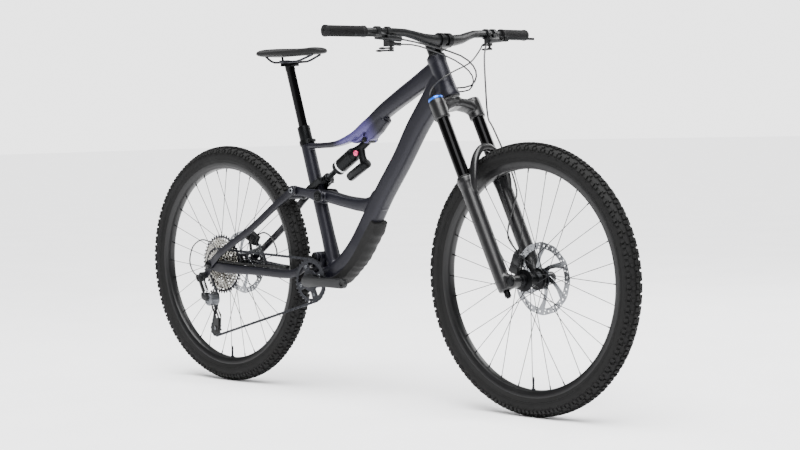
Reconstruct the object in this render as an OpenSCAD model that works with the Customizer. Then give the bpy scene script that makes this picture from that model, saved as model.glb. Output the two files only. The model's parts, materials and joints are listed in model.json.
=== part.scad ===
// Full-suspension mountain bike. +X is forward, +Y is the rider's left, +Z is up.
// The origin is on the ground, midway between the two axles, in the bike's centre plane.

/* [Wheels] */
// Distance between the two axles
wheelbase = 1280; // [1150:5:1400]
// Outer radius of both tyres, over the knobs
tyre_r = 372; // [345:1:400]
// Width of both tyres
tyre_w = 61; // [52:1:66]
// Radius at which the tyre bead sits on the rim
rim_r = 314; // [300:1:330]
// Radial depth of the rim
rim_depth = 15; // [12:1:30]
// Outside width of the rim
rim_w = 35; // [30:1:40]
// Number of spokes in each wheel
spoke_count = 32; // [16:16:32]
// Spoke radius
spoke_r = 0.9; // [0.8:0.05:1.1]
// Radius of the circle of spoke holes in the hub flanges
spoke_circle_r = 27; // [24:1:32]
// Radius of both brake rotors
rotor_r = 100; // [80:5:110]
// Thickness of both brake rotors
rotor_t = 1.8; // [1.6:0.1:2.2]
// Radius of the front axle
front_axle_r = 7.5; // [6:0.5:10]
// Radius of the rear axle
rear_axle_r = 6; // [5:0.5:8]
// Distance between the faces that hold the front hub
front_spacing = 110; // [100:1:125]
// Distance between the faces that hold the rear hub
rear_spacing = 148; // [142:1:160]

/* [Frame] */
// How far the bottom bracket lies below the axles
bb_drop = 34; // [20:1:45]
// Distance from the rear tyre to the bottom bracket axis
stay_gap = 68; // [60:1:90]
// Width of the bottom bracket shell
bb_w = 73; // [68:1:83]
// Outside radius of the bottom bracket shell
bb_shell_r = 23.5; // [22:0.5:28]
// Angle of the steering axis above the ground
head_angle = 64.3; // [62:0.1:69]
// Length of the head tube
head_tube_l = 130; // [100:5:150]
// Outside radius of the head tube
head_tube_r = 27; // [25:0.5:32]
// Angle of the seat tube above the ground
seat_angle = 73.07; // [70:0.1:78]
// How far ahead of the bottom bracket the seat tube's line passes
seat_offset = 69; // [50:1:80]
// Length of the seat tube's line, from bottom bracket height to its top
seat_tube_l = 433; // [400:1:520]
// Wall of the seat tube
seat_tube_wall = 3; // [2:0.5:5]
// Front-to-back depth of the down tube
down_tube_d = 54; // [44:1:62]
// Side-to-side width of the down tube
down_tube_w = 52; // [40:1:58]
// Radius of the top tube
top_tube_r = 22; // [17:0.5:26]
// Height of the flat upper brace behind the top tube
brace_h = 18; // [14:1:24]

/* [Rear suspension] */
// Radius of the main pivot axle
main_pivot_r = 7.5; // [6:0.5:9]
// Radius of the rocker pivot axle
rocker_pivot_r = 7; // [5:0.5:8]
// Radius of the pins at the rocker's rear and at the shock yoke
link_pin_r = 5; // [4:0.5:6]
// Radius of the bolt at the shock's upper eye
shock_bolt_r = 4; // [3:0.5:5]
// Radius of the shock's air can
shock_can_r = 22; // [18:0.5:24]
// Radius of the shock's damper shaft
shock_shaft_r = 8; // [6:0.5:10]
// Stroke that the shock shaft is drawn out by at rest
shock_stroke = 46; // [40:1:55]

/* [Fork] */
// Fork travel
fork_travel = 150; // [120:5:170]
// Gap between the front tyre at full travel and the crown race
crown_gap = 44; // [36:1:60]
// Distance of the front axle ahead of the steering axis
fork_rake = 44; // [37:1:51]
// Distance of each fork leg from the centre plane
leg_y = 70; // [66:1:80]
// Distance of the legs' line ahead of the steering axis
leg_offset = 7; // [0:1:12]
// Radius of the stanchions
stanchion_r = 18; // [16:0.5:19]
// Outside radius of the lower legs
lower_leg_r = 22; // [21:0.5:24]
// Radius of the steerer tube at its top
steerer_r = 14.3; // [12.7:0.1:14.3]
// Radius of the steerer tube at the crown
steerer_base_r = 19.9; // [19:0.1:19.9]

/* [Cockpit] */
// Length of the stem
stem_l = 48; // [32:1:90]
// Height of the stem's clamp on the steerer
stem_clamp_h = 38; // [34:1:44]
// Radius of the handlebar where the stem holds it
bar_clamp_r = 15.9; // [15.9:0.1:17.5]
// Radius of the handlebar under the grips
bar_grip_r = 11.1; // [11:0.1:11.2]
// Half of the handlebar's overall width
bar_half_w = 400; // [360:5:410]
// Rise of the handlebar
bar_rise = 23; // [10:1:40]
// How far the bar ends lie behind the clamp
bar_back = 55; // [30:1:70]
// Length of a grip
grip_l = 132; // [120:1:140]
// Outside radius of a grip
grip_r = 16; // [14.5:0.5:17]

/* [Seat] */
// Radius of the dropper post's moving shaft
post_r = 14; // [12.5:0.5:15]
// Wall of the dropper post's outer tube
dropper_wall = 2.45; // [2:0.05:3]
// Travel of the dropper post
post_travel = 175; // [120:5:200]
// Length of the saddle
saddle_l = 265; // [240:5:280]
// Width of the saddle
saddle_w = 143; // [130:1:155]

/* [Drivetrain] */
// Length of the crank arms
crank_l = 172; // [160:1:175]
// Radius of the crank axle
crank_axle_r = 14.5; // [12:0.5:15]
// Distance of the chain's line from the centre plane
chain_y = 50.5; // [48:0.5:55]
// Radius of the threaded pedal holes
pedal_hole_r = 7.14; // [7.14:0.01:7.15]
// Teeth on the chainring
ring_teeth = 32; // [28:2:36]
// Teeth on the sprocket that the chain runs on
drive_teeth = 24; // [21:3:28]
// Teeth on each derailleur pulley
pulley_teeth = 11; // [10:1:12]
// Distance between neighbouring sprockets
cog_step = 3.7; // [3.5:0.05:3.7]

/* [Clearances] */
// Radial clearance of a shaft that turns or slides in its bore
running = 0.05; // [0.02:0.01:0.1]
// Gap between two bodies that pass each other
gap = 0.4; // [0.3:0.1:1]
// Radial room in the two eyes where the suspension's loop is left open
open_room = 5; // [4.8:0.1:6]

/* [Hidden] */
$fn = 48;
chain_pitch = 12.7;
cog_teeth = [10, 12, 14, 16, 18, 21, 24, 28, 32, 36, 40, 45];

// ---- main points of the frame ----
front_axle_p = [wheelbase / 2, 0, tyre_r];
rear_axle_p = [-wheelbase / 2, 0, tyre_r];
stay_l = tyre_r + stay_gap;
bb_p = rear_axle_p + [sqrt(stay_l * stay_l - bb_drop * bb_drop), 0, -bb_drop];
main_p = bb_p + [6, 0, 70];
rocker_p = bb_p + [25, 0, 253];
rocker_rear_p = bb_p + [-82, 0, 269];
yoke_p = bb_p + [-47, 0, 257];
shock_p = bb_p + [221, 0, 419];

// ---- steering axis: s runs up it from the foot of the rake, f runs forward from it ----
steer_up = [-cos(head_angle), 0, sin(head_angle)];
steer_fore = [sin(head_angle), 0, cos(head_angle)];
steer_foot = front_axle_p - fork_rake * steer_fore;
race_s = tyre_r + fork_travel + crown_gap;
head_low_s = race_s + 6;
head_top_s = head_low_s + head_tube_l;
stem_s = head_top_s + 8;
lower_top_s = race_s - fork_travel - 92;
function steer_at(s, f = 0, y = 0) = steer_foot + s * steer_up + f * steer_fore + [0, y, 0];

// ---- brakes ----
front_rotor_y = 43;
rear_rotor_y = 57;
front_caliper_p = steer_at(70, fork_rake - 64, front_rotor_y);
rear_caliper_p = rear_axle_p + [46, rear_rotor_y, 80];

// ---- seat tube ----
seat_up = [-cos(seat_angle), 0, sin(seat_angle)];
seat_foot = bb_p + [seat_offset, 0, 0];
dropper_r = post_r + running + dropper_wall;
seat_tube_r = dropper_r + seat_tube_wall;
collar_top_s = seat_tube_l + 48;
post_top_s = collar_top_s + post_travel + 18;
function seat_at(s) = seat_foot + s * seat_up;

// ---- frame tubes ----
head_mid = steer_at(head_low_s + 58);
top_tube_front = steer_at(head_top_s - 34);
top_tube_rear = shock_p + [-50, 0, 8];
brace_z = seat_at(seat_tube_l - 11)[2] - brace_h / 2;
down_tube_front = steer_at(head_low_s + 64);
down_tube_bend = bb_p + [184, 0, 129];
down_tube_low = bb_p + [100, 0, 42];
brace_end = bb_p + [250, 0, 232];
lug_y = 24;

// ---- rear triangle layers, from the centre plane outward ----
hub_half = rear_spacing / 2;
dropout_y = [hub_half, hub_half + 7];
seatstay_y = [hub_half + 7 + gap, hub_half + 14];
rocker_y = [lug_y + 3, lug_y + 12];
yoke_y = [seat_tube_r + 0.5, rocker_y[0] - gap];
stay_eye_y = [rocker_y[1] + gap, rocker_y[1] + 10];
main_lug_y = [lug_y + gap, lug_y + 14];

// ---- shock ----
shock_dir = (shock_p - yoke_p) / norm(shock_p - yoke_p);
shock_l = norm(shock_p - yoke_p);
can_start = 84;
can_end = 167;
reservoir_r = 14.4;
function shock_at(d) = shock_p - d * shock_dir;
// A point beside the shock, the distance e below its line
function shock_side(d, e) = shock_at(d) + e * [shock_dir[2], 0, -shock_dir[0]];

// ---- drivetrain ----
function pitch_r(teeth) = chain_pitch / (2 * sin(180 / teeth));
ring_p = [bb_p[0], bb_p[2]];
cog_p = [rear_axle_p[0], rear_axle_p[2]];
cage_pivot = rear_axle_p + [0, 0, -110];
guide_p = cage_pivot + [-24, 0, 4];
tension_p = cage_pivot + [-14, 0, -94];
drive_index = search(drive_teeth, cog_teeth)[0];
function cog_y(i) = -chain_y - (drive_index - i) * cog_step;

// ---- derailleur linkage ----
link_top = rear_axle_p + [-30, 0, -46];
link_low = rear_axle_p + [-12, 0, -82];
link_l = norm(link_low - link_top);
link_dir = (link_low - link_top) / link_l;
link_pin_dir = [-link_dir[2], 0, link_dir[0]];
outer_link_y = -(hub_half + 26.5);
inner_link_y = -(hub_half + 12.5);

// ---- cockpit ----
bar_p = steer_at(stem_s + stem_clamp_h / 2, stem_l);
bar_knee = bar_p + [-15, 155, bar_rise - 2];
bar_end = bar_p + [-bar_back, bar_half_w, bar_rise];
bar_dir = (bar_end - bar_knee) / norm(bar_end - bar_knee);
function on_bar(d) = bar_end - d * bar_dir;
lever_d = grip_l + 40;
lever_p = on_bar(lever_d - 22) + [36, 0, -14];
remote_p = on_bar(lever_d + 34) + [14, 0, -26];

// ---- helpers ----
// Round bar, or a cone when r_end is given, from a to b
module rod(a, b, r, r_end = -1) {
    v = b - a;
    l = norm(v);
    translate(a) rotate([0, acos(v[2] / l), atan2(v[1], v[0])])
        cylinder(h = l, r1 = r, r2 = r_end < 0 ? r : r_end);
}
// Round bar along Y through the point p, from y0 to y1
module cross_rod(p, y0, y1, r) {
    translate([p[0], y0, p[2]]) rotate([-90, 0, 0]) cylinder(h = y1 - y0, r = r);
}
// Round bar along Y on the side given by s (+1 left, -1 right), between the distances span[0] and span[1]
module side_rod(p, s, span, r) {
    cross_rod(p, min(s * span[0], s * span[1]), max(s * span[0], s * span[1]), r);
}
// A flat outline in the bike's side view, as thick as y0 to y1
module side_plate(y0, y1) {
    translate([0, y1, 0]) rotate([90, 0, 0]) linear_extrude(y1 - y0) children();
}
module on_steerer() {
    translate(steer_foot) rotate([0, head_angle - 90, 0]) children();
}
module on_seat_tube() {
    translate(seat_foot) rotate([0, seat_angle - 90, 0]) children();
}
// Things made round Z turn round the wheel axle at p
module on_axle(p) {
    translate(p) rotate([-90, 0, 0]) children();
}
// Both sides of the bike
module both() {
    children();
    mirror([0, 1, 0]) children();
}
function flat(p) = [p[0], p[2]];

// ---- swept tube along a smooth curve through hand-placed points ----
function curve_point(p, i, t) =
    let (a = p[max(i - 1, 0)], b = p[i], c = p[i + 1], d = p[min(i + 2, len(p) - 1)])
    0.5 * ((2 * b) + (c - a) * t + (2 * a - 5 * b + 4 * c - d) * t * t
        + (3 * b - a - 3 * c + d) * t * t * t);
function curve(p, n) = concat([for (i = [0:len(p) - 2]) for (k = [0:n - 1]) curve_point(p, i, k / n)],
    [p[len(p) - 1]]);
function unit(v) = v / norm(v);
function tangent(q, i) = unit(q[min(i + 1, len(q) - 1)] - q[max(i - 1, 0)]);
function carried(q, i) = i == 0
    ? unit(cross(tangent(q, 0), abs(tangent(q, 0)[2]) < 0.9 ? [0, 0, 1] : [1, 0, 0]))
    : let (n = carried(q, i - 1), t = tangent(q, i)) unit(n - (n * t) * t);
// Closed tube along the points q, with one radius for each point
module sweep(q, radii, sides) {
    rings = [for (i = [0:len(q) - 1])
        let (a = carried(q, i), b = cross(tangent(q, i), a))
        for (k = [0:sides - 1])
            q[i] + radii[i] * (cos(360 * k / sides) * a + sin(360 * k / sides) * b)];
    last = (len(q) - 1) * sides;
    polyhedron(rings, concat(
        [[for (k = [0:sides - 1]) k]],
        [for (i = [0:len(q) - 2]) for (k = [0:sides - 1])
            [i * sides + k, (i + 1) * sides + k, (i + 1) * sides + (k + 1) % sides,
                i * sides + (k + 1) % sides]],
        [[for (k = [sides - 1:-1:0]) last + k]]));
}
module hose(points, r, n = 3, sides = 8) {
    q = curve(points, n);
    sweep(q, [for (p = q) r], sides);
}

// ---- main frame ----
module head_tube_outer() {
    on_steerer() translate([0, 0, head_low_s]) cylinder(h = head_tube_l, r = head_tube_r);
}
module head_tube() {
    color("#3F3A5C") difference() {
        head_tube_outer();
        on_steerer() translate([0, 0, head_low_s - 1])
            cylinder(h = head_tube_l + 2, r = steerer_base_r + 3);
    }
}
module seat_tube_pipe() {
    on_seat_tube() translate([0, 0, 60]) cylinder(h = seat_tube_l - 60, r = seat_tube_r);
}
module seat_tube_outer() {
    seat_tube_pipe();
    cross_rod(bb_p, -bb_w / 2, bb_w / 2, bb_shell_r);
    // web that carries the main pivot over the bottom bracket
    hull() {
        cross_rod(main_p, -lug_y, lug_y, main_pivot_r + 8, $fn = 32);
        cross_rod(seat_at(72), -lug_y, lug_y, 16, $fn = 32);
        cross_rod(bb_p, -lug_y, lug_y, bb_shell_r - 1, $fn = 32);
    }
    // rocker pivot boss on the front of the seat tube
    hull() {
        cross_rod(rocker_p, -lug_y, lug_y, rocker_pivot_r + 9, $fn = 32);
        cross_rod(seat_at(seat_tube_l - 168), -14, 14, 14, $fn = 32);
    }
    // brace from the rocker pivot to the down tube
    hull() {
        cross_rod(rocker_p + [14, 0, -2], -19, 19, 15, $fn = 32);
        cross_rod(brace_end, -21, 21, 20, $fn = 32);
    }
}
module seat_tube() {
    color("#5B567E") difference() {
        seat_tube_outer();
        on_seat_tube() translate([0, 0, seat_tube_l - 222]) cylinder(h = 230, r = dropper_r);
        cross_rod(bb_p, -bb_w, bb_w, bb_shell_r - 3);
        cross_rod(main_p, -bb_w, bb_w, main_pivot_r);
        cross_rod(rocker_p, -bb_w, bb_w, rocker_pivot_r);
    }
}
module top_tube_shape() {
    rod(top_tube_front, top_tube_rear, top_tube_r);
    // the tube narrows into the flat upper brace
    hull() {
        translate(top_tube_rear) sphere(r = top_tube_r, $fn = 32);
        cross_rod([top_tube_rear[0] - 75, 0, brace_z], -24, 24, brace_h / 2, $fn = 32);
    }
    hull() {
        cross_rod([top_tube_rear[0] - 75, 0, brace_z], -24, 24, brace_h / 2, $fn = 32);
        cross_rod([seat_at(seat_tube_l)[0] + 10, 0, brace_z - 2], -16, 16, brace_h / 2, $fn = 32);
    }
    // two ears that hold the shock's upper eye
    both() hull() {
        cross_rod(shock_p, 13, 21, 13, $fn = 32);
        cross_rod(shock_p + [36, 0, 40], 10, 19, 22, $fn = 32);
        cross_rod(shock_p + [-28, 0, 24], 10, 19, 18, $fn = 32);
    }
}
module shock_tunnel() {
    // room for the shock's head and can as they swing up
    hull() {
        translate(shock_p) sphere(r = 18);
        translate(shock_at(can_start - 24) + [0, 0, 4]) sphere(r = shock_can_r + 3);
        translate(shock_at(can_end) + [0, 0, 24]) sphere(r = shock_can_r + 2);
    }
    cross_rod(shock_p, -12.5 - gap, 12.5 + gap, 18);
}
module top_tube() {
    color("#6A6690") difference() {
        top_tube_shape();
        head_tube_outer();
        seat_tube_pipe();
        shock_tunnel();
        cross_rod(shock_p, -40, 40, shock_bolt_r);
    }
}
module rounded_section(d, w, corner) {
    hull() for (i = [-1, 1], j = [-1, 1])
        translate([i * (d / 2 - corner), j * (w / 2 - corner)]) circle(r = corner, $fn = 24);
}
module down_tube_shape() {
    v = down_tube_front - down_tube_bend;
    translate(down_tube_bend) rotate([0, acos(v[2] / norm(v)), 0])
        linear_extrude(norm(v)) rounded_section(down_tube_d, down_tube_w, 16);
    hull() {
        translate(down_tube_bend) sphere(r = down_tube_w / 2, $fn = 32);
        translate(down_tube_low) sphere(r = down_tube_w / 2 + 1, $fn = 32);
    }
    hull() {
        translate(down_tube_low) sphere(r = down_tube_w / 2 + 1, $fn = 32);
        cross_rod(bb_p + [4, 0, 4], -bb_w / 2 + 6, bb_w / 2 - 6, bb_shell_r, $fn = 32);
    }
}
module down_tube() {
    color("#4A4F5E") difference() {
        down_tube_shape();
        head_tube_outer();
        seat_tube_outer();
        rod(top_tube_front, top_tube_rear, top_tube_r);
        cross_rod(bb_p, -bb_w, bb_w, bb_shell_r);
        // two threaded bosses for a bottle cage
        for (p = bottle_boss_p) rod(p, p + 16 * boss_dir, boss_r);
    }
}
boss_r = 2.5;
down_dir = unit(down_tube_front - down_tube_bend);
boss_dir = [-down_dir[2], 0, down_dir[0]];
bottle_boss_p = [for (d = [250, 314]) down_tube_bend + d * down_dir + (down_tube_d / 2 - 12) * boss_dir];
module downtube_guard() {
    guard_t = 3;
    color("#1C1C1E") difference() {
        hull() {
            translate(down_tube_bend + [22, 0, 14]) rod([0, 0, 0], [0.01, 0, 0.01], 12, 12);
            translate(down_tube_bend + [2, 0, -3]) sphere(r = down_tube_w / 2 + guard_t, $fn = 32);
            translate(down_tube_low + [2, 0, -3]) sphere(r = down_tube_w / 2 + guard_t, $fn = 32);
        }
        down_tube_shape();
        seat_tube_outer();
        // only the lower front face is covered
        translate(down_tube_bend + [-150, -60, 8]) rotate([0, 46, 0]) cube([150, 120, 260]);
        translate(down_tube_low + [-260, -60, -50]) cube([236, 120, 300]);
    }
}
module frame_bearings() {
    // headset cups and bottom bracket cups
    color("#17181A") {
        on_steerer() {
            translate([0, 0, head_low_s]) difference() {
                cylinder(h = 14, r = steerer_base_r + 3);
                translate([0, 0, -1]) cylinder(h = 16, r = steerer_base_r + running);
            }
            translate([0, 0, head_top_s - 12]) difference() {
                union() {
                    cylinder(h = 12, r = steerer_base_r + 3);
                    translate([0, 0, 12]) cylinder(h = 7, r1 = head_tube_r, r2 = head_tube_r - 6);
                }
                translate([0, 0, -1]) cylinder(h = 21, r = steerer_r + running);
            }
        }
        both() difference() {
            union() {
                cross_rod(bb_p, bb_w / 2 - 14, bb_w / 2, bb_shell_r - 3);
                cross_rod(bb_p, bb_w / 2, bb_w / 2 + 8, bb_shell_r - 1);
            }
            cross_rod(bb_p, 0, bb_w, crank_axle_r + running);
        }
    }
}
module frame_pivots() {
    // main pivot axle, rocker pivot axle and the upper shock bolt, each with a head at both ends
    color("#202124") {
        cross_rod(main_p, -main_lug_y[1] - 2, main_lug_y[1] + 2, main_pivot_r);
        cross_rod(rocker_p, -rocker_y[1] - 2, rocker_y[1] + 2, rocker_pivot_r);
        both() cross_rod(main_p, main_lug_y[1] + gap, main_lug_y[1] + 3, main_pivot_r + 3);
        both() cross_rod(rocker_p, rocker_y[1] + gap, rocker_y[1] + 3, rocker_pivot_r + 4);
        cross_rod(shock_p, -21, 21, shock_bolt_r);
        both() cross_rod(shock_p, 21, 25, shock_bolt_r + 4);
    }
}
module dropper_outer() {
    color("#0F0F10") on_seat_tube() difference() {
        union() {
            translate([0, 0, seat_tube_l - 222]) cylinder(h = 222, r = dropper_r);
            translate([0, 0, seat_tube_l]) cylinder(h = collar_top_s - seat_tube_l, r = dropper_r + 3);
        }
        translate([0, 0, seat_tube_l - 214]) cylinder(h = 320, r = post_r + running);
    }
}
module seat_clamp() {
    color("#141416") on_seat_tube() difference() {
        union() {
            translate([0, 0, seat_tube_l - 9]) cylinder(h = 14, r = seat_tube_r + 3.5);
            translate([seat_tube_r + 4, 0, seat_tube_l - 2]) rotate([90, 0, 0])
                cylinder(h = 24, r = 5, center = true);
        }
        translate([0, 0, seat_tube_l - 10]) cylinder(h = 10, r = seat_tube_r);
        translate([0, 0, seat_tube_l - 1]) cylinder(h = 10, r = dropper_r + 3);
    }
}

// ---- fork and cockpit ----
module fork_crown() {
    clamp_s = [race_s - 64, race_s - 4];
    color("#101012") on_steerer() difference() {
        union() {
            translate([0, 0, race_s]) cylinder(h = 30, r1 = steerer_base_r, r2 = steerer_base_r);
            translate([0, 0, race_s + 30]) cylinder(h = 24, r1 = steerer_base_r, r2 = steerer_r);
            translate([0, 0, race_s + 54])
                cylinder(h = stem_s + stem_clamp_h - race_s - 54, r = steerer_r);
            translate([0, 0, race_s - 26]) cylinder(h = 26, r = steerer_base_r + 5);
            both() translate([leg_offset, leg_y, clamp_s[0]])
                cylinder(h = clamp_s[1] - clamp_s[0], r = stanchion_r + 4.5);
            both() hull() {
                translate([0, 0, race_s - 26]) cylinder(h = 25, r = 20, $fn = 32);
                translate([leg_offset, leg_y - 4, race_s - 52]) cylinder(h = 40, r = 17, $fn = 32);
            }
        }
        both() translate([leg_offset, leg_y, clamp_s[0] - 30]) cylinder(h = 82, r = stanchion_r);
        translate([0, 0, race_s - 30]) cylinder(h = stem_s + stem_clamp_h - race_s + 40, r = steerer_r - 3);
    }
}
module fork_stanchions() {
    foot_s = lower_top_s - 144;
    color("#0B0B0C") on_steerer() both() translate([leg_offset, leg_y, foot_s]) difference() {
        cylinder(h = race_s - 12 - foot_s, r = stanchion_r);
        translate([0, 0, -1]) cylinder(h = race_s - 22 - foot_s, r = stanchion_r - 2.5);
    }
}
module damper_dial() {
    color("#2E7CC0") on_steerer() translate([leg_offset, -leg_y, race_s - 4 + gap]) {
        cylinder(h = 6, r = stanchion_r + 3);
        translate([0, 0, 6]) cylinder(h = 4, r = 11);
    }
}
module stem() {
    top_s = stem_s + stem_clamp_h;
    color("#131315") on_steerer() difference() {
        union() {
            translate([0, 0, stem_s]) cylinder(h = stem_clamp_h, r = steerer_r + 3.5);
            translate([0, 0, top_s]) cylinder(h = 4, r = steerer_r + 3);
            hull() {
                translate([8, 0, stem_s + stem_clamp_h / 2]) cube([12, 32, stem_clamp_h - 2], center = true);
                translate([stem_l - 12, 0, stem_s + stem_clamp_h / 2]) cube([8, 44, 34], center = true);
            }
            translate([stem_l, 0, stem_s + stem_clamp_h / 2]) rotate([90, 0, 0])
                cylinder(h = 44, r = bar_clamp_r + 5, center = true);
        }
        translate([0, 0, stem_s - 1]) cylinder(h = stem_clamp_h + 1, r = steerer_r);
        translate([stem_l, 0, stem_s + stem_clamp_h / 2]) rotate([90, 0, 0])
            cylinder(h = 60, r = bar_clamp_r, center = true);
        // gap between the stem and its faceplate, and the window in the faceplate
        translate([stem_l - 0.4, -30, stem_s - 20]) cube([0.8, 60, stem_clamp_h + 40]);
        translate([stem_l + 6, -7, stem_s - 20]) cube([30, 14, stem_clamp_h + 40]);
    }
}
// The bar's centre line from the right end to the left, with straight grip sections
function bar_r(y) = abs(y) < 40 ? bar_clamp_r : abs(y) > bar_knee[1] - 30 ? bar_grip_r
    : bar_clamp_r + (bar_grip_r - bar_clamp_r) * (abs(y) - 40) / (bar_knee[1] - 70);
half_bar = concat([bar_end, bar_knee + 14 * bar_dir],
    [for (y = [bar_knee[1] - 18, bar_knee[1] - 45, 75, 40])
        let (t = (y - 40) / (bar_knee[1] - 40), w = t * t * (3 - 2 * t))
        [bar_p[0] + w * (bar_knee[0] - bar_p[0]), y, bar_p[2] + w * (bar_knee[2] - bar_p[2])]]);
bar_line = concat([for (p = half_bar) [p[0], -p[1], p[2]]],
    [for (i = [len(half_bar) - 1:-1:0]) half_bar[i]]);
module handlebar() {
    color("#161618") sweep(bar_line, [for (p = bar_line) bar_r(p[1])], 32);
}
module grips() {
    color("#1A1A1B") both() difference() {
        union() {
            rod(on_bar(grip_l), bar_end + 2 * bar_dir, grip_r);
            rod(on_bar(grip_l), on_bar(grip_l - 10), grip_r + 1.5);
        }
        rod(on_bar(grip_l + 5), bar_end, bar_grip_r);
    }
}
module brake_lever_bodies() {
    inner = on_bar(lever_d + 56) + [26, 0, -20];
    outer = lever_p + [-10, 2, 0];
    color("#4A4B4F") both() difference() {
        union() {
            rod(on_bar(lever_d + 7), on_bar(lever_d - 7), bar_grip_r + 4.5);
            rod(on_bar(lever_d) + [6, 0, 0], (inner + outer) / 2, 6);
            rod(inner, outer, 8.5);
            translate(lever_p + [0, 0, -8]) cylinder(h = 16, r = 8);
            translate(lever_p + [-12, -8, -8]) cube([12, 16, 16]);
        }
        rod(on_bar(lever_d + 60), on_bar(lever_d - 60), bar_grip_r);
        // slot in which the blade turns
        translate(lever_p + [-7, -30, -4]) cube([40, 70, 8]);
    }
    color("#4A4B4F") both() translate(lever_p + [0, 0, -9]) cylinder(h = 18, r = 2.5);
}
module brake_blade() {
    // the blade's outline from above, as a row of discs from the pivot to the finger hook
    reach = [[4, 3, 6], [10, 14, 4.5], [19, 36, 4], [20, 72, 4.5], [14, 100, 5.5]];
    translate(lever_p) difference() {
        union() {
            translate([0, 0, -3.6]) cylinder(h = 7.2, r = 6);
            translate([0, 0, -3.5]) linear_extrude(7) for (i = [0:len(reach) - 2]) hull()
                for (q = [reach[i], reach[i + 1]]) translate([q[0], q[1]]) circle(r = q[2], $fn = 24);
        }
        translate([0, 0, -20]) cylinder(h = 40, r = 2.5 + running);
    }
}
module brake_lever_right() {
    color("#1B1B1D") mirror([0, 1, 0]) brake_blade();
}
module brake_lever_left() {
    color("#1B1B1D") brake_blade();
}
module remote_body() {
    rod(on_bar(lever_d + 28), on_bar(lever_d + 40), bar_grip_r + 4);
}
module remote_bodies() {
    // the shifter under the right of the bar and the dropper remote under the left
    color("#1D1E20") {
        mirror([0, 1, 0]) difference() {
            union() {
                remote_body();
                translate(remote_p + [-16, -12, -14]) cube([17, 26, 29]);
                rod(remote_p + [-4, -8, -6], remote_p + [0, -36, -8], 5);
                translate(remote_p + [0, 0, -28]) cylinder(h = 16, r = 4);
            }
            rod(on_bar(lever_d + 70), on_bar(lever_d), bar_grip_r);
        }
        difference() {
            union() {
                remote_body();
                translate(remote_p + [-12, -10, -8]) cube([14, 20, 23]);
                rod(remote_p + [-2, -8, -4], remote_p + [2, -28, -6], 4);
                translate(remote_p + [0, 0, -20]) cylinder(h = 14, r = 4);
            }
            rod(on_bar(lever_d + 70), on_bar(lever_d), bar_grip_r);
        }
    }
}
// Thumb paddle that turns on the post under a remote, with its pivot at p
module thumb_paddle(p, h, reach) {
    difference() {
        union() {
            translate(p) cylinder(h = h, r = 8);
            translate(p + [0, 0, h / 2]) rod([-4, 4, 0], [-reach, 10, 0], 2.5);
            translate(p + [-reach, 12, h / 2]) scale([1, 1.8, 0.5]) sphere(r = 7);
        }
        translate(p - [0, 0, 10]) cylinder(h = 40, r = 4 + running);
    }
}
module shift_paddle() {
    color("#18181A") mirror([0, 1, 0]) thumb_paddle(remote_p + [0, 0, -28], 6, 34);
}
module release_paddle() {
    color("#232427") mirror([0, 1, 0]) thumb_paddle(remote_p + [0, 0, -21], 5, 22);
}
module dropper_paddle() {
    color("#18181A") thumb_paddle(remote_p + [0, 0, -20], 6, 30);
}

// ---- hoses and cable housings: points are placed by hand along the real route ----
hose_r = 2.5;
lever_out = on_bar(lever_d + 60) + [26, 0, -21];
shifter_out = remote_p + [0, -40, -8];
dropper_out = remote_p + [2, -32, -6];
function right(p) = [p[0], -p[1], p[2]];
port_left = steer_at(head_low_s + 46, -16, head_tube_r - 1);
port_right = steer_at(head_low_s + 30, -44, -down_tube_w / 2 - 2);
front_hose = [lever_out, lever_out + [34, -50, -42], lever_out + [66, -82, -130], lever_out + [78, -88, -216],
    steer_at(race_s - 110, 42, leg_y + 6), steer_at(lower_top_s + 20, 42, leg_y + 14),
    steer_at(lower_top_s - 60, 42, leg_y + 6), steer_at(lower_top_s - 100, 36, leg_y - 20),
    steer_at(lower_top_s - 136, 12, leg_y - 32),
    steer_at(150, -20, leg_y - 26),
    front_caliper_p + [-2, 3, 34]];
rear_hose = [right(lever_out), right(lever_out) + [34, 48, -14], [bar_p[0] + 74, -8, bar_p[2] - 46],
    [bar_p[0] + 90, 34, bar_p[2] - 88], [bar_p[0] + 62, 44, bar_p[2] - 128], port_left + [0, 2.4, -6]];
shift_housing = [right(shifter_out), right(shifter_out) + [26, 44, -6], [bar_p[0] + 62, -20, bar_p[2] - 58],
    [bar_p[0] + 84, 26, bar_p[2] - 102], [bar_p[0] + 56, 42, bar_p[2] - 140], port_left + [4, -0.4, -16]];
dropper_housing = [dropper_out, dropper_out + [22, -40, -22], [bar_p[0] + 56, 44, bar_p[2] - 66],
    [bar_p[0] + 40, -14, bar_p[2] - 92], [bar_p[0] + 4, -42, bar_p[2] - 124], port_right + [8, -8, 10],
    port_right];
module control_cables() {
    color("#0E0E0F") {
        hose(front_hose, hose_r);
        hose(rear_hose, hose_r);
        hose(shift_housing, hose_r - 0.3);
        hose(dropper_housing, hose_r - 0.3);
    }
}
derailleur_loop = [rear_axle_p + [74, -71.5, 11], rear_axle_p + [56, -77, 28], rear_axle_p + [30, -77.5, 52],
    rear_axle_p + [2, -78, 70], rear_axle_p + [-36, -84, 78], rear_axle_p + [-70, -92, 56],
    rear_axle_p + [-82, -97, 12], rear_axle_p + [-68, -98, -20], rear_axle_p + [-48, -98, -34]];
rear_brake_hose = [rear_caliper_p + [22, 4, 8], rear_caliper_p + [52, 4, 16], rear_caliper_p + [84, 6, 2],
    rear_caliper_p + [108, 6, -36], rear_caliper_p + [112, 2, -58]];
module rear_cables() {
    color("#0E0E0F") {
        hose(derailleur_loop, hose_r - 0.3);
        hose(rear_brake_hose, hose_r);
    }
}

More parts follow.
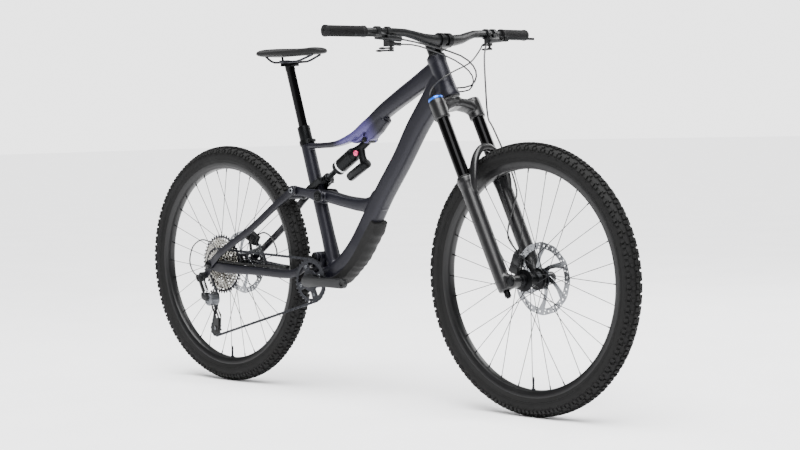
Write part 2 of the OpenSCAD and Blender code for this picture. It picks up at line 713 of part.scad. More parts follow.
// ---- fork lowers ----
module fork_lowers() {
    boss_p = [fork_rake, 0, 0];
    color("#0C0C0D") on_steerer() difference() {
        union() {
            both() {
                translate([leg_offset, leg_y, -12]) cylinder(h = lower_top_s + 12, r = lower_leg_r);
                translate([leg_offset, leg_y, lower_top_s - 8]) cylinder(h = 10, r = lower_leg_r + 2);
                hull() {
                    translate([leg_offset, leg_y, -10]) cylinder(h = 60, r = lower_leg_r - 5, $fn = 32);
                    translate(boss_p) rotate([-90, 0, 0]) translate([0, 0, front_spacing / 2])
                        cylinder(h = 28, r = front_axle_r + 9, $fn = 32);
                }
                // half of the brace over the tyre
                rod([leg_offset + 8, leg_y - 4, lower_top_s - 26], arch_knee, 11, 10);
                translate(arch_knee) sphere(r = 10.4);
                rod(arch_knee, arch_top, 10);
                translate(arch_top) sphere(r = 10.4);
            }
            // post mount for the brake
            rod([leg_offset - 8, leg_y - 8, 106], [-22, front_rotor_y + 4, 100], 7);
            rod([leg_offset - 8, leg_y - 8, 36], [-24, front_rotor_y + 4, 44], 7);
        }
        both() translate([leg_offset, leg_y, 24]) cylinder(h = 400, r = stanchion_r + running);
        translate(boss_p) rotate([90, 0, 0]) cylinder(h = 300, r = front_axle_r, center = true);
        // the axle's head
        translate(boss_p) rotate([90, 0, 0]) translate([0, 0, front_spacing / 2 + 28])
            cylinder(h = 30, r = front_axle_r + 5.5);
        // room for the damping knob
        translate([leg_offset, -leg_y, -62]) cylinder(h = 50, r = 9 + gap);
        // room for the hub, the rotor and the caliper
        translate(boss_p) rotate([90, 0, 0]) cylinder(h = front_spacing, r = 34, center = true);
        translate([fork_rake, front_rotor_y - 4, 0]) rotate([-90, 0, 0]) cylinder(h = 8, r = rotor_r + 5);
        translate(to_steer(front_caliper_p) + [0, -2, 0]) cube([72, 20, 72], center = true);
    }
}
arch_knee = [50, 34, lower_top_s + 62];
arch_top = [56, 0, lower_top_s + 80];
// A point of the bike in the steering axis's own coordinates
function to_steer(p) = [(p - steer_foot) * steer_fore, p[1], (p - steer_foot) * steer_up];
module front_axle() {
    color("#26272A") {
        cross_rod(front_axle_p, -front_spacing / 2 - 28, front_spacing / 2 + 28, front_axle_r);
        cross_rod(front_axle_p, -front_spacing / 2 - 31, -front_spacing / 2 - 28, front_axle_r + 5);
    }
}
// Caliper that straddles a rotor, centred on p. Its own X points away from the wheel's axle
module caliper(p, tilt) {
    slot = rotor_t + 1.6;
    reach = rotor_r - 93;
    translate(p) rotate([0, tilt, 0]) difference() {
        union() {
            translate([-14, -11, -26]) cube([reach + 24, 18.5, 52]);
            for (z = [-13, 13]) translate([-2, 7.5, z]) rotate([90, 0, 0]) cylinder(h = 20.5, r = 11.5);
        }
        translate([-40, -slot / 2, -50]) cube([43 + reach, slot, 100]);
    }
}
module front_caliper() {
    radial = front_caliper_p - front_axle_p;
    color("#17181A") caliper(front_caliper_p, -atan2(radial[2], radial[0]));
}
module rebound_knob() {
    color("#111112") on_steerer() translate([leg_offset, -leg_y, -12 - gap - 16]) {
        cylinder(h = 16, r = 9);
        translate([0, 0, -4]) cylinder(h = 4, r = 6);
    }
}

// ---- wheels ----
module tyre(p) {
    section_r = tyre_w / 2;
    color("#1B1B1C") on_axle(p) rotate_extrude($fn = 96) difference() {
        translate([tyre_r - section_r, 0]) circle(r = section_r);
        translate([tyre_r - section_r, 0]) circle(r = section_r - 5);
        translate([0, -tyre_w]) square([rim_r, 2 * tyre_w]);
    }
}
module rim(p) {
    color("#141415") on_axle(p) rotate_extrude($fn = 96) difference() {
        polygon([[rim_r, -rim_w / 2], [rim_r, rim_w / 2], [rim_r - 7, rim_w / 2], [rim_r - rim_depth, 9],
            [rim_r - rim_depth, -9], [rim_r - 7, -rim_w / 2]]);
        translate([rim_r - rim_depth + 3, -8]) square([rim_depth - 6, 16]);
    }
}
module hub(p, flanges, ends, axle_r, rotor_y) {
    color("#101011") on_axle(p) difference() {
        union() {
            translate([0, 0, ends[0]]) cylinder(h = ends[1] - ends[0], r = axle_r + 4);
            translate([0, 0, flanges[0]]) cylinder(h = flanges[1] - flanges[0], r = 17);
            for (y = flanges) translate([0, 0, y - 2]) cylinder(h = 4, r = spoke_circle_r + 4);
            translate([0, 0, flanges[1]]) cylinder(h = rotor_y + 4 - flanges[1], r = 18);
        }
        translate([0, 0, -200]) cylinder(h = 400, r = axle_r + running);
    }
}
module spokes(p, flanges) {
    per_side = spoke_count / 2;
    lean = 67.5;
    step = 360 / per_side;
    color("#3A3A3D") on_axle(p) for (side = [0, 1], k = [0:per_side - 1]) {
        hub_a = k * step + side * step / 2;
        rim_a = hub_a + (k % 2 == 0 ? lean : -lean);
        y = flanges[side] + (k % 2 == 0 ? 1.9 : -1.9);
        rod([spoke_circle_r * cos(hub_a), spoke_circle_r * sin(hub_a), y],
            [(rim_r - rim_depth + 2) * cos(rim_a), (rim_r - rim_depth + 2) * sin(rim_a), side == 0 ? -4 : 4],
            spoke_r);
    }
}
module rotor(p, y) {
    color("#9A9A9C") on_axle(p) translate([0, 0, y - rotor_t / 2]) linear_extrude(rotor_t) {
        difference() {
            circle(r = rotor_r, $fn = 96);
            circle(r = rotor_r - 16, $fn = 96);
            for (k = [0:23]) rotate(k * 15) translate([rotor_r - 8, 0]) circle(r = 3, $fn = 16);
        }
        difference() {
            union() {
                circle(r = 26);
                for (k = [0:5]) rotate(k * 60) polygon([[20, -12], [rotor_r - 14, 12], [rotor_r - 14, 20], [20, 2]]);
            }
            circle(r = 18);
        }
    }
}
front_flanges = [-30, 30];
rear_flanges = [-22, 36];
module front_tyre() { tyre(front_axle_p); }
module front_rim() { rim(front_axle_p); }
module front_spokes() { spokes(front_axle_p, front_flanges); }
module front_hub() {
    half = front_spacing / 2 - gap;
    hub(front_axle_p, front_flanges, [-half, half], front_axle_r, front_rotor_y);
}
module front_rotor() { rotor(front_axle_p, front_rotor_y); }
module rear_tyre() { tyre(rear_axle_p); }
module rear_rim() { rim(rear_axle_p); }
module rear_spokes() { spokes(rear_axle_p, rear_flanges); }
module rear_hub() {
    hub(rear_axle_p, rear_flanges, [rear_flanges[0] - 4, hub_half - gap], rear_axle_r, rear_rotor_y);
}
module rear_rotor() { rotor(rear_axle_p, rear_rotor_y); }

// ---- chain and sprockets ----
// Sprocket outline with pointed teeth that stand tip beyond the pitch circle
module sprocket(teeth, tip) {
    pr = pitch_r(teeth);
    half = 180 / teeth;
    polygon([for (k = [0:teeth - 1]) for (q = [[-0.62, -4], [-0.2, tip], [0.2, tip], [0.62, -4]])
        (pr + q[1]) * [cos((2 * k + q[0]) * half), sin((2 * k + q[0]) * half)]]);
}
module cassette() {
    plate_t = 1.8;
    inner_y = cog_y(len(cog_teeth) - 1);
    outer_y = cog_y(0);
    color("#A8A8A6") on_axle(rear_axle_p) difference() {
        union() {
            for (i = [0:len(cog_teeth) - 1]) translate([0, 0, cog_y(i) - plate_t / 2]) linear_extrude(plate_t)
                difference() {
                    sprocket(cog_teeth[i], 2.6);
                    if (i > 5) for (k = [0:5]) rotate(k * 60 + i * 8)
                        translate([(pitch_r(cog_teeth[i]) + 20) / 2, 0])
                            circle(r = (pitch_r(cog_teeth[i]) - 32) / 2.6, $fn = 24);
                }
            translate([0, 0, outer_y]) cylinder(h = inner_y - outer_y + 3, r = 19);
            for (i = [3:len(cog_teeth) - 2]) translate([0, 0, cog_y(i)])
                cylinder(h = cog_step, r = pitch_r(cog_teeth[i]) - 12);
        }
        translate([0, 0, -hub_half - 20]) cylinder(h = hub_half + 20, r = rear_axle_r + running);
        translate([0, 0, rear_flanges[0] - 4 - gap]) cylinder(h = 60, r = 90);
        translate([0, 0, -hub_half - 19 + gap]) cylinder(h = 19, r = 60);
    }
}
// Left-hand normal of the line that leaves circle a and joins circle b; s is +1 for a turn to the left
function line_angle(a, b) =
    let (d = b[0] - a[0], k = b[2] * b[1] - a[2] * a[1], l = norm(d))
    atan2(d[1], d[0]) - atan2(k, sqrt(l * l - k * k));
// The chain turns round these circles in order: centre, pitch radius, turn
chain_wheels = [
    [cog_p, pitch_r(drive_teeth), 1],
    [flat(guide_p), pitch_r(pulley_teeth), -1],
    [flat(tension_p), pitch_r(pulley_teeth), 1],
    [ring_p, pitch_r(ring_teeth), 1]];
function wrap(x) = x - 360 * floor(x / 360);
// Points of the chain's line, moved outward by w
function chain_line(w) = [for (i = [0:3])
    let (here = chain_wheels[i], before = chain_wheels[(i + 3) % 4], after = chain_wheels[(i + 1) % 4],
        a0 = line_angle(before, here), a1 = line_angle(here, after),
        sweep = here[2] > 0 ? wrap(a1 - a0) : -wrap(a0 - a1), n = ceil(abs(sweep) / 9))
    for (k = [0:n])
        let (t = a0 + sweep * k / n, r = here[1] + here[2] * w)
        here[0] + here[2] * r * [sin(t), -cos(t)]];
module chain() {
    plate_h = 4.2;
    color("#8C8C88") {
        for (s = [-1, 1]) side_plate(-chain_y + s * 2.15 - 0.45, -chain_y + s * 2.15 + 0.45) difference() {
            polygon(chain_line(plate_h));
            polygon(chain_line(-plate_h));
        }
        // rollers along the two straight runs
        for (run = [[3, 0, 0.07, 0.93], [2, 3, 0.07, 0.93]]) {
            a = chain_wheels[run[0]];
            b = chain_wheels[run[1]];
            t = line_angle(a, b);
            p = a[0] + a[2] * a[1] * [sin(t), -cos(t)];
            q = b[0] + b[2] * b[1] * [sin(t), -cos(t)];
            n = floor(norm(q - p) / chain_pitch);
            for (k = [ceil(n * run[2]):floor(n * run[3])]) {
                c = p + (q - p) * k / n;
                cross_rod([c[0], 0, c[1]], -chain_y - 1.7, -chain_y + 1.7, 3.6, $fn = 16);
            }
        }
    }
}
module chainring() {
    ring_t = 2.2;
    color("#2B2E2E") on_axle(bb_p) translate([0, 0, -chain_y - ring_t / 2]) linear_extrude(ring_t) difference() {
        sprocket(ring_teeth, 2.8);
        circle(r = crank_axle_r);
        for (k = [0:7]) rotate(k * 45) translate([40, 0]) circle(r = 10, $fn = 24);
    }
}
// One crank arm along dir (+1 forward, -1 back) on side s
module crank_arm(s, dir) {
    end = bb_p + [dir * crank_l, 0, 0];
    difference() {
        union() {
            hull() {
                side_rod(bb_p, s, [chain_y + 6, chain_y + 22], 17, $fn = 32);
                side_rod(bb_p + [dir * 60, 0, 0], s, [chain_y + 12, chain_y + 27], 13, $fn = 32);
            }
            hull() {
                side_rod(bb_p + [dir * 60, 0, 0], s, [chain_y + 12, chain_y + 27], 13, $fn = 32);
                side_rod(end, s, [chain_y + 21, chain_y + 35], 14, $fn = 32);
            }
        }
        side_rod(end, s, [0, 150], pedal_hole_r);
        side_rod(bb_p, s, [0, chain_y + 18], crank_axle_r);
    }
}
module crank_arms() {
    color("#2F3333") {
        crank_arm(-1, 1);
        crank_arm(1, -1);
        cross_rod(bb_p, -chain_y - 18, chain_y + 18, crank_axle_r);
        // spacer that carries the chainring
        difference() {
            cross_rod(bb_p, -chain_y - 6, -chain_y - 1.1, 22);
            cross_rod(bb_p, -chain_y - 7, -chain_y, crank_axle_r);
        }
    }
}

// ---- rear suspension ----
// One chainstay, drawn on the left
module chainstay_arm() {
    bend = [rear_axle_p + [345, 42, -18], rear_axle_p + [200, 56, -14], rear_axle_p + [36, hub_half + 1.2, -6]];
    hull() {
        side_rod(main_p + [-6, 0, -6], 1, [main_lug_y[0] + 1, main_lug_y[1] - 1], 13, $fn = 32);
        translate(bend[0]) scale([1, 0.6, 1]) sphere(r = 12.5, $fn = 32);
    }
    hull() {
        translate(bend[0]) scale([1, 0.6, 1]) sphere(r = 12.5, $fn = 32);
        translate(bend[1]) scale([1, 0.65, 1]) sphere(r = 13, $fn = 32);
    }
    hull() {
        translate(bend[1]) scale([1, 0.65, 1]) sphere(r = 13, $fn = 32);
        translate(bend[2]) scale([1, 0.35, 1]) sphere(r = 15, $fn = 32);
        cross_rod(rear_axle_p + [16, 0, -2], dropout_y[0], dropout_y[1], 15, $fn = 32);
    }
    cross_rod(rear_axle_p, dropout_y[0], dropout_y[1], 17);
    cross_rod(main_p, main_lug_y[0], main_lug_y[1], main_pivot_r + 8);
}
module chainstays() {
    bridge_p = main_p + [-37, 0, -24];
    color("#4B4870") difference() {
        union() {
            both() chainstay_arm();
            cross_rod(bridge_p, -main_lug_y[1] + 4, main_lug_y[1] - 4, 11);
            // derailleur hanger
            side_rod(rear_axle_p + [-16, 0, -20], -1, [dropout_y[0] + 1, dropout_y[1]], 13);
            side_rod(rear_axle_p + [-23, 0, -29], -1, [dropout_y[0] + 1, dropout_y[1]], 11);
            side_rod(link_top + [0, 0, 8], -1, [dropout_y[0] + 1, dropout_y[1]], 9);
            // mount for the rear brake
            rod(rear_axle_p + [16, dropout_y[0] + 1.9, 6], rear_caliper_p + [-26, 9, 4], 5);
            rod(rear_axle_p + [92, dropout_y[0] - 6, 0], rear_caliper_p + [22, 9, -22], 5);
        }
        side_rod(rear_axle_p, 1, [0, 200], rear_axle_r);
        side_rod(rear_axle_p, -1, [0, 200], rear_axle_r);
        cross_rod(main_p, -100, 100, main_pivot_r + running);
        cross_rod(main_p, -main_lug_y[0], main_lug_y[0], main_pivot_r + 9);
        // room for the hub, the rotor and the sprockets
        cross_rod(rear_axle_p, -hub_half, hub_half, 30);
        cross_rod(rear_axle_p, rear_rotor_y - 3, rear_rotor_y + 3, rotor_r + 4);
        rod(rear_axle_p - [0, hub_half, 0], rear_axle_p + [0, cog_y(len(cog_teeth) - 1) + 4, 0], 27, 101);
        // seat of the rear caliper
        translate(rear_caliper_p) rotate([0, -atan2(80, 46), 0]) translate([-14.1, -13.1, -26.1])
            cube([rotor_r - 93 + 24.2, 20.7, 52.2]);
        // the pivot axle's heads
        both() cross_rod(main_p, main_lug_y[1], main_lug_y[1] + 30, main_pivot_r + 4);
    }
}
module rear_axle() {
    color("#1A1B1D") {
        cross_rod(rear_axle_p, -seatstay_y[1] - 1, seatstay_y[1] + 1, rear_axle_r);
        both() cross_rod(rear_axle_p, seatstay_y[1] + gap, seatstay_y[1] + 3, rear_axle_r + 7);
    }
}
module rear_caliper() {
    radial = rear_caliper_p - rear_axle_p;
    color("#17181A") caliper(rear_caliper_p, -atan2(radial[2], radial[0]));
}
module derailleur_base() {
    color("#17181A") {
        difference() {
            union() {
                side_rod(link_top + [-2, 0, 10], -1, [dropout_y[1], hub_half + 20], 12.5);
                hull() {
                    side_rod(link_top + [-4, 0, 8], -1, [hub_half + 8, hub_half + 33], 8, $fn = 32);
                    side_rod(link_top, -1, [hub_half + 8, hub_half + 33], 7, $fn = 32);
                }
            }
            // slots in which the two links turn
            for (y = [outer_link_y, inner_link_y]) link_slot(y, 3);
        }
        for (y = [outer_link_y, inner_link_y])
            rod(link_top + [0, y, 0] - 8 * link_pin_dir, link_top + [0, y, 0] + 8 * link_pin_dir, 2);
    }
}
// Local axes of one link: X runs along it and Z along its pins
module on_link(y) {
    translate(link_top + [0, y, 0]) rotate([0, atan2(link_pin_dir[0], link_pin_dir[2]), 0]) children();
}
// Room for one end of a link as it turns, at the distance d along it
module link_slot(y, d) {
    on_link(y) translate([d, 0, 0]) cube([24, 13, 6.8], center = true);
}
// One of the two links, at the distance y from the centre plane
module derailleur_link(y) {
    low_hole_r = y == inner_link_y ? 3 : 2 + running;
    on_link(y) translate([0, 0, -3]) linear_extrude(6) difference() {
        hull() for (x = [0, link_l]) translate([x, 0]) circle(r = 4.5);
        circle(r = 2 + running);
        translate([link_l, 0]) circle(r = low_hole_r);
    }
}
module derailleur_outer_link() {
    color("#3A3D3F") derailleur_link(outer_link_y);
}
module derailleur_inner_link() {
    color("#B9BABC") derailleur_link(inner_link_y);
}
module derailleur_knuckle() {
    color("#2A2E30") {
        difference() {
            union() {
                side_rod(cage_pivot, -1, [chain_y + 9, hub_half + 20], 19);
                hull() {
                    side_rod(link_low + [2, 0, -6], -1, [hub_half + 3, hub_half + 33], 7, $fn = 32);
                    side_rod(cage_pivot + [-6, 0, 10], -1, [hub_half + 3, hub_half + 20], 9, $fn = 32);
                }
            }
            for (y = [outer_link_y, inner_link_y]) link_slot(y, link_l - 3);
            side_rod(cage_pivot, -1, [0, chain_y + 16], 5 + running);
        }
        for (y = [outer_link_y, inner_link_y])
            rod(link_low + [0, y, 0] - 7 * link_pin_dir, link_low + [0, y, 0] + 7 * link_pin_dir, 2);
    }
}
module derailleur_cage() {
    color("#1E1F21") {
        for (y = [[-chain_y - 6.5, -chain_y - 4.5], [-chain_y + 4.5, -chain_y + 6]]) side_plate(y[0], y[1]) {
            hull() {
                translate(flat(guide_p)) circle(r = 13);
                translate(flat(tension_p) + [10, 46]) circle(r = 8);
            }
            hull() {
                translate(flat(tension_p)) circle(r = 17);
                translate(flat(tension_p) + [10, 46]) circle(r = 8);
            }
            if (y[0] < -chain_y) hull() {
                translate(flat(guide_p)) circle(r = 13);
                translate(flat(cage_pivot)) circle(r = 14);
            }
        }
        for (p = [guide_p, tension_p]) cross_rod(p, -chain_y - 8, -chain_y + 7.5, 2.5);
        side_rod(cage_pivot, -1, [chain_y + 6, chain_y + 15], 5);
    }
}
module pulley(p) {
    color("#151516") on_axle(p) difference() {
        union() {
            translate([0, 0, -chain_y - 1]) linear_extrude(2) sprocket(pulley_teeth, 2.2);
            translate([0, 0, -chain_y - 4]) cylinder(h = 8, r = 7);
        }
        translate([0, 0, -chain_y - 9]) cylinder(h = 18, r = 2.5 + running);
    }
}
module guide_pulley() { pulley(guide_p); }
module tension_pulley() { pulley(tension_p); }

// One seatstay, drawn on the left
module seatstay_arm() {
    top_y = (stay_eye_y[0] + stay_eye_y[1]) / 2;
    hull() {
        cross_rod(rear_axle_p + [8, 0, 6], seatstay_y[0], seatstay_y[1], 12, $fn = 32);
        translate(rear_axle_p + [70, seatstay_y[0] + 5.6, 46]) scale([1, 0.45, 1]) sphere(r = 11, $fn = 32);
    }
    hull() {
        translate(rear_axle_p + [70, seatstay_y[0] + 5.6, 46]) scale([1, 0.45, 1]) sphere(r = 11, $fn = 32);
        translate(rocker_rear_p + [-30, top_y + 3, -20]) scale([1, 0.6, 1]) sphere(r = 11.5, $fn = 32);
    }
    hull() {
        translate(rocker_rear_p + [-30, top_y + 3, -20]) scale([1, 0.6, 1]) sphere(r = 11.5, $fn = 32);
        cross_rod(rocker_rear_p, stay_eye_y[0], stay_eye_y[1], 13, $fn = 32);
    }
    cross_rod(rear_axle_p, seatstay_y[0], seatstay_y[1], 14);
    cross_rod(rocker_rear_p, stay_eye_y[0], stay_eye_y[1], link_pin_r + open_room + 5);
}
module seatstays() {
    bridge_p = rocker_rear_p + [-20, 0, -13];
    color("#454360") difference() {
        union() {
            both() seatstay_arm();
            both() rod(rocker_rear_p + [-34, stay_eye_y[0] + 2, -22], rocker_rear_p + [-34, 0, -12], 7);
        }
        cross_rod(rear_axle_p, -200, 200, rear_axle_r + running);
        cross_rod(rear_axle_p, -seatstay_y[0], seatstay_y[0], 24);
        both() cross_rod(rear_axle_p, seatstay_y[1], seatstay_y[1] + 20, rear_axle_r + 8.5);
        cross_rod(rocker_rear_p, -200, 200, link_pin_r + open_room);
        cross_rod(rocker_rear_p, -stay_eye_y[0], stay_eye_y[0], 24);
    }
}
module rocker_link() {
    color("#55507C") {
        both() difference() {
            hull() {
                cross_rod(rocker_p, rocker_y[0], rocker_y[1], rocker_pivot_r + 12, $fn = 32);
                cross_rod(rocker_rear_p + [0, 0, -1], rocker_y[0], rocker_y[1], 15, $fn = 32);
            }
            cross_rod(rocker_p, 0, 100, rocker_pivot_r + running);
        }
        // pins toward the shock yoke and toward the seatstays; the seat tube passes between the plates
        both() cross_rod(yoke_p, yoke_y[0] + 1, rocker_y[0], link_pin_r);
        both() cross_rod(rocker_rear_p, rocker_y[1] - 1, stay_eye_y[1] + 1, link_pin_r);
    }
}
module shock_body() {
    color("#0F1011") {
        difference() {
            union() {
                cross_rod(shock_p, -12.5, 12.5, 11);
                rod(shock_at(4), shock_at(can_start), 11, 15);
                rod(shock_at(can_start - 8), shock_at(can_start), 17, shock_can_r - 1);
                rod(shock_at(can_start), shock_at(can_end - 4), shock_can_r);
                rod(shock_at(can_end - 6), shock_at(can_end), shock_can_r - 1, shock_can_r - 5);
                // head that joins the reservoir under the can
                rod(shock_at(54), shock_side(58, 50), 12);
                rod(shock_side(46, 52), shock_side(136, 48), reservoir_r);
            }
            cross_rod(shock_p, -30, 30, shock_bolt_r + running);
            rod(shock_at(can_end - 62), shock_at(can_end + 10), shock_shaft_r + running);
            cross_rod(knob_p, knob_y[0], 0, 5 + running);
        }
    }
}
knob_p = shock_side(56, 12);
knob_y = [-17, -9];
module shock_knob() {
    color("#D8476B") {
        cross_rod(knob_p, knob_y[0] - 2, knob_y[1], 5);
        cross_rod(knob_p, knob_y[0] - 5, knob_y[0] - gap, 8);
    }
}
module shock_shaft() {
    tip = can_end - 2;
    yoke_d = can_end + shock_stroke;
    color("#1B1C1E") {
        rod(shock_at(tip), shock_at(yoke_d + 6), shock_shaft_r);
        difference() {
            union() {
                rod(shock_at(yoke_d), shock_at(yoke_d + 22), 14);
                hull() {
                    translate(shock_at(yoke_d + 18)) cube([16, 2 * yoke_y[1], 20], center = true);
                    translate(shock_at(yoke_d + 22)) cube([8, 2 * yoke_y[1], 16], center = true);
                }
                both() hull() {
                    cross_rod(shock_at(yoke_d + 18), yoke_y[0], yoke_y[1], 9, $fn = 32);
                    cross_rod(yoke_p, yoke_y[0], yoke_y[1], link_pin_r + open_room + 3, $fn = 32);
                }
            }
            cross_rod(yoke_p, -100, 100, link_pin_r + open_room);
            on_seat_tube() translate([0, 0, 120]) cylinder(h = 320, r = seat_tube_r + 0.5);
        }
    }
}

// ---- seat ----
module dropper_post() {
    foot_s = collar_top_s - 50;
    head_p = seat_at(post_top_s);
    color("#0D0D0E") {
        on_seat_tube() {
            translate([0, 0, foot_s]) cylinder(h = post_top_s - foot_s, r = post_r);
            translate([0, 0, post_top_s - 14]) cylinder(h = 16, r = post_r + 1);
        }
        // head with the lower clamp for the rails
        translate(head_p + [-20, -19, 0]) cube([42, 38, 9]);
    }
}
rail_z = seat_at(post_top_s)[2] + 12.5;
module saddle_rails() {
    rail_r = 3.5;
    x = seat_at(post_top_s)[0];
    route = [[x + 122, 16, rail_z + 18], [x + 92, 19, rail_z + 9], [x + 56, 22, rail_z], [x, 22, rail_z],
        [x - 44, 22, rail_z], [x - 62, 27, rail_z + 9], [x - 72, 34, rail_z + 21]];
    color("#1E1F21") {
        both() {
            hose(route, rail_r, 2, 12);
            // clamp shells on the rails
            difference() {
                translate([x - 16, 16, rail_z - 3.4]) cube([34, 12, 9]);
                rod([x - 30, 22, rail_z], [x + 30, 22, rail_z], rail_r);
            }
        }
        translate([x - 6, -16, rail_z]) cube([14, 32, 5]);
    }
}
module saddle() {
    x = seat_at(post_top_s)[0];
    nose = [x + 156, 0, rail_z + 27];
    tail_x = x + 166 - saddle_l;
    color("#121213") difference() {
        hull() {
            translate(nose) scale([1, 1.7, 0.9]) sphere(r = 10, $fn = 32);
            translate([x + 50, 0, rail_z + 29]) scale([1, 2.2, 0.9]) sphere(r = 12, $fn = 32);
            both() translate([tail_x + 42, saddle_w / 2 - 22, rail_z + 28]) scale([1.5, 1, 0.55])
                sphere(r = 22, $fn = 32);
            both() translate([tail_x + 14, saddle_w / 2 - 40, rail_z + 33]) sphere(r = 11, $fn = 32);
        }
        // hollow underside over the rails
        translate([x - 80, -34, rail_z - 30]) cube([70, 68, 47]);
    }
}

head_tube();
top_tube();
down_tube();
seat_tube();
frame_bearings();
frame_pivots();
downtube_guard();
dropper_outer();
seat_clamp();
fork_crown();
fork_stanchions();
stem();
handlebar();
grips();
brake_lever_bodies();
remote_bodies();
control_cables();
damper_dial();
fork_lowers();
front_axle();
front_caliper();
rebound_knob();
front_tyre();
front_rim();
front_spokes();
front_hub();
front_rotor();
rear_tyre();
rear_rim();
rear_spokes();
rear_hub();
rear_rotor();
cassette();
chainstays();
rear_axle();
rear_caliper();
chain();
rear_cables();
derailleur_base();
seatstays();
rocker_link();
shock_body();
shock_shaft();
shock_knob();
crank_arms();
chainring();
dropper_post();
saddle();
saddle_rails();
brake_lever_right();
brake_lever_left();
shift_paddle();
release_paddle();
dropper_paddle();
derailleur_outer_link();
derailleur_inner_link();
derailleur_knuckle();
derailleur_cage();
guide_pulley();
tension_pulley();
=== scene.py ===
"""Looks of the mountain bike: every visible piece, its finish, the floor and the light."""
import json
import math
from math import cos, pi, radians, sin, sqrt

import bpy
import bmesh
from mathutils import Matrix, Vector


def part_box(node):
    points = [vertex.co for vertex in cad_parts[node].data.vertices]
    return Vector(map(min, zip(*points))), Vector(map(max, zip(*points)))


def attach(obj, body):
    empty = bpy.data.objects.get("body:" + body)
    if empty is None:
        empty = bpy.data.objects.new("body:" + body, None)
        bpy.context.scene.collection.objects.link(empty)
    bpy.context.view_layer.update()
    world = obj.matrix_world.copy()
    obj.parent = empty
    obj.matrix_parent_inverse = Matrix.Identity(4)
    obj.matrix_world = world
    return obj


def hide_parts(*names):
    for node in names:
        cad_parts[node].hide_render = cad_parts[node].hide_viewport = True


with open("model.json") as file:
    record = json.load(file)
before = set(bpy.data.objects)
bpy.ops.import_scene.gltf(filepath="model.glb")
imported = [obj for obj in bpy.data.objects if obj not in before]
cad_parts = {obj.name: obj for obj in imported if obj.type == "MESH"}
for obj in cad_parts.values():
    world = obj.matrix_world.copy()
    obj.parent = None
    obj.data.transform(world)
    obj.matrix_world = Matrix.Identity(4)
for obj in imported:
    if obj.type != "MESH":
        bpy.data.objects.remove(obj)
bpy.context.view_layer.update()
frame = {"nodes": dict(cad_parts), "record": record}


MM = 0.001
UP = Vector((0, 0, 1))
ACROSS = Vector((0, 1, 0))

# ---- the bike's own points, in millimetres ----
WHEELBASE, TYRE_R, TYRE_W = 1280, 372, 61


def at(x, y, z):
    return Vector((x, y, z))


FRONT = at(WHEELBASE / 2, 0, TYRE_R)
REAR = at(-WHEELBASE / 2, 0, TYRE_R)
BB = REAR + at(sqrt(440 ** 2 - 34 ** 2), 0, -34)
MAIN = BB + at(6, 0, 70)
ROCKER = BB + at(25, 0, 253)
STAY_EYE = BB + at(-82, 0, 269)
YOKE = BB + at(-47, 0, 257)
SHOCK = BB + at(221, 0, 419)
HEAD_ANGLE, SEAT_ANGLE = radians(64.3), radians(73.07)
STEER_UP = at(-cos(HEAD_ANGLE), 0, sin(HEAD_ANGLE))
STEER_FORE = at(sin(HEAD_ANGLE), 0, cos(HEAD_ANGLE))
STEER_FOOT = FRONT - 44 * STEER_FORE
RACE, HEAD_LOW, HEAD_TOP, STEM_S, LOWER_TOP = 566, 572, 702, 710, 324
SEAT_UP = at(-cos(SEAT_ANGLE), 0, sin(SEAT_ANGLE))
SEAT_FOOT = BB + at(69, 0, 0)
CHAIN_Y = -50.5


def on_steer(s, fore=0, side=0):
    return STEER_FOOT + s * STEER_UP + fore * STEER_FORE + side * ACROSS


def on_seat(s, side=0):
    return SEAT_FOOT + s * SEAT_UP + side * ACROSS


BAR = on_steer(STEM_S + 19, 48)
BAR_KNEE = BAR + at(-15, 155, 21)
BAR_END = BAR + at(-55, 400, 23)
BAR_DIR = (BAR_END - BAR_KNEE).normalized()
SHOCK_DIR = (SHOCK - YOKE).normalized()


def on_bar(d, side):
    p = BAR_END - d * BAR_DIR
    return at(p.x, side * p.y, p.z)


# ---- finishes ----
def linear(hex_colour):
    """A colour from its sRGB hex value."""
    out = []
    for i in (1, 3, 5):
        c = int(hex_colour[i:i + 2], 16) / 255
        out.append(c / 12.92 if c <= 0.04045 else ((c + 0.055) / 1.055) ** 2.4)
    return (*out, 1)


def node(tree, kind, settings=(), links=()):
    """Adds a node, sets its properties or sockets, and links what feeds it."""
    n = tree.nodes.new(kind)
    for key, value in dict(settings).items():
        if isinstance(key, str) and hasattr(n, key):
            setattr(n, key, value)
        else:
            n.inputs[key].default_value = value
    for key, source in dict(links).items():
        tree.links.new(source, n.inputs[key])
    return n


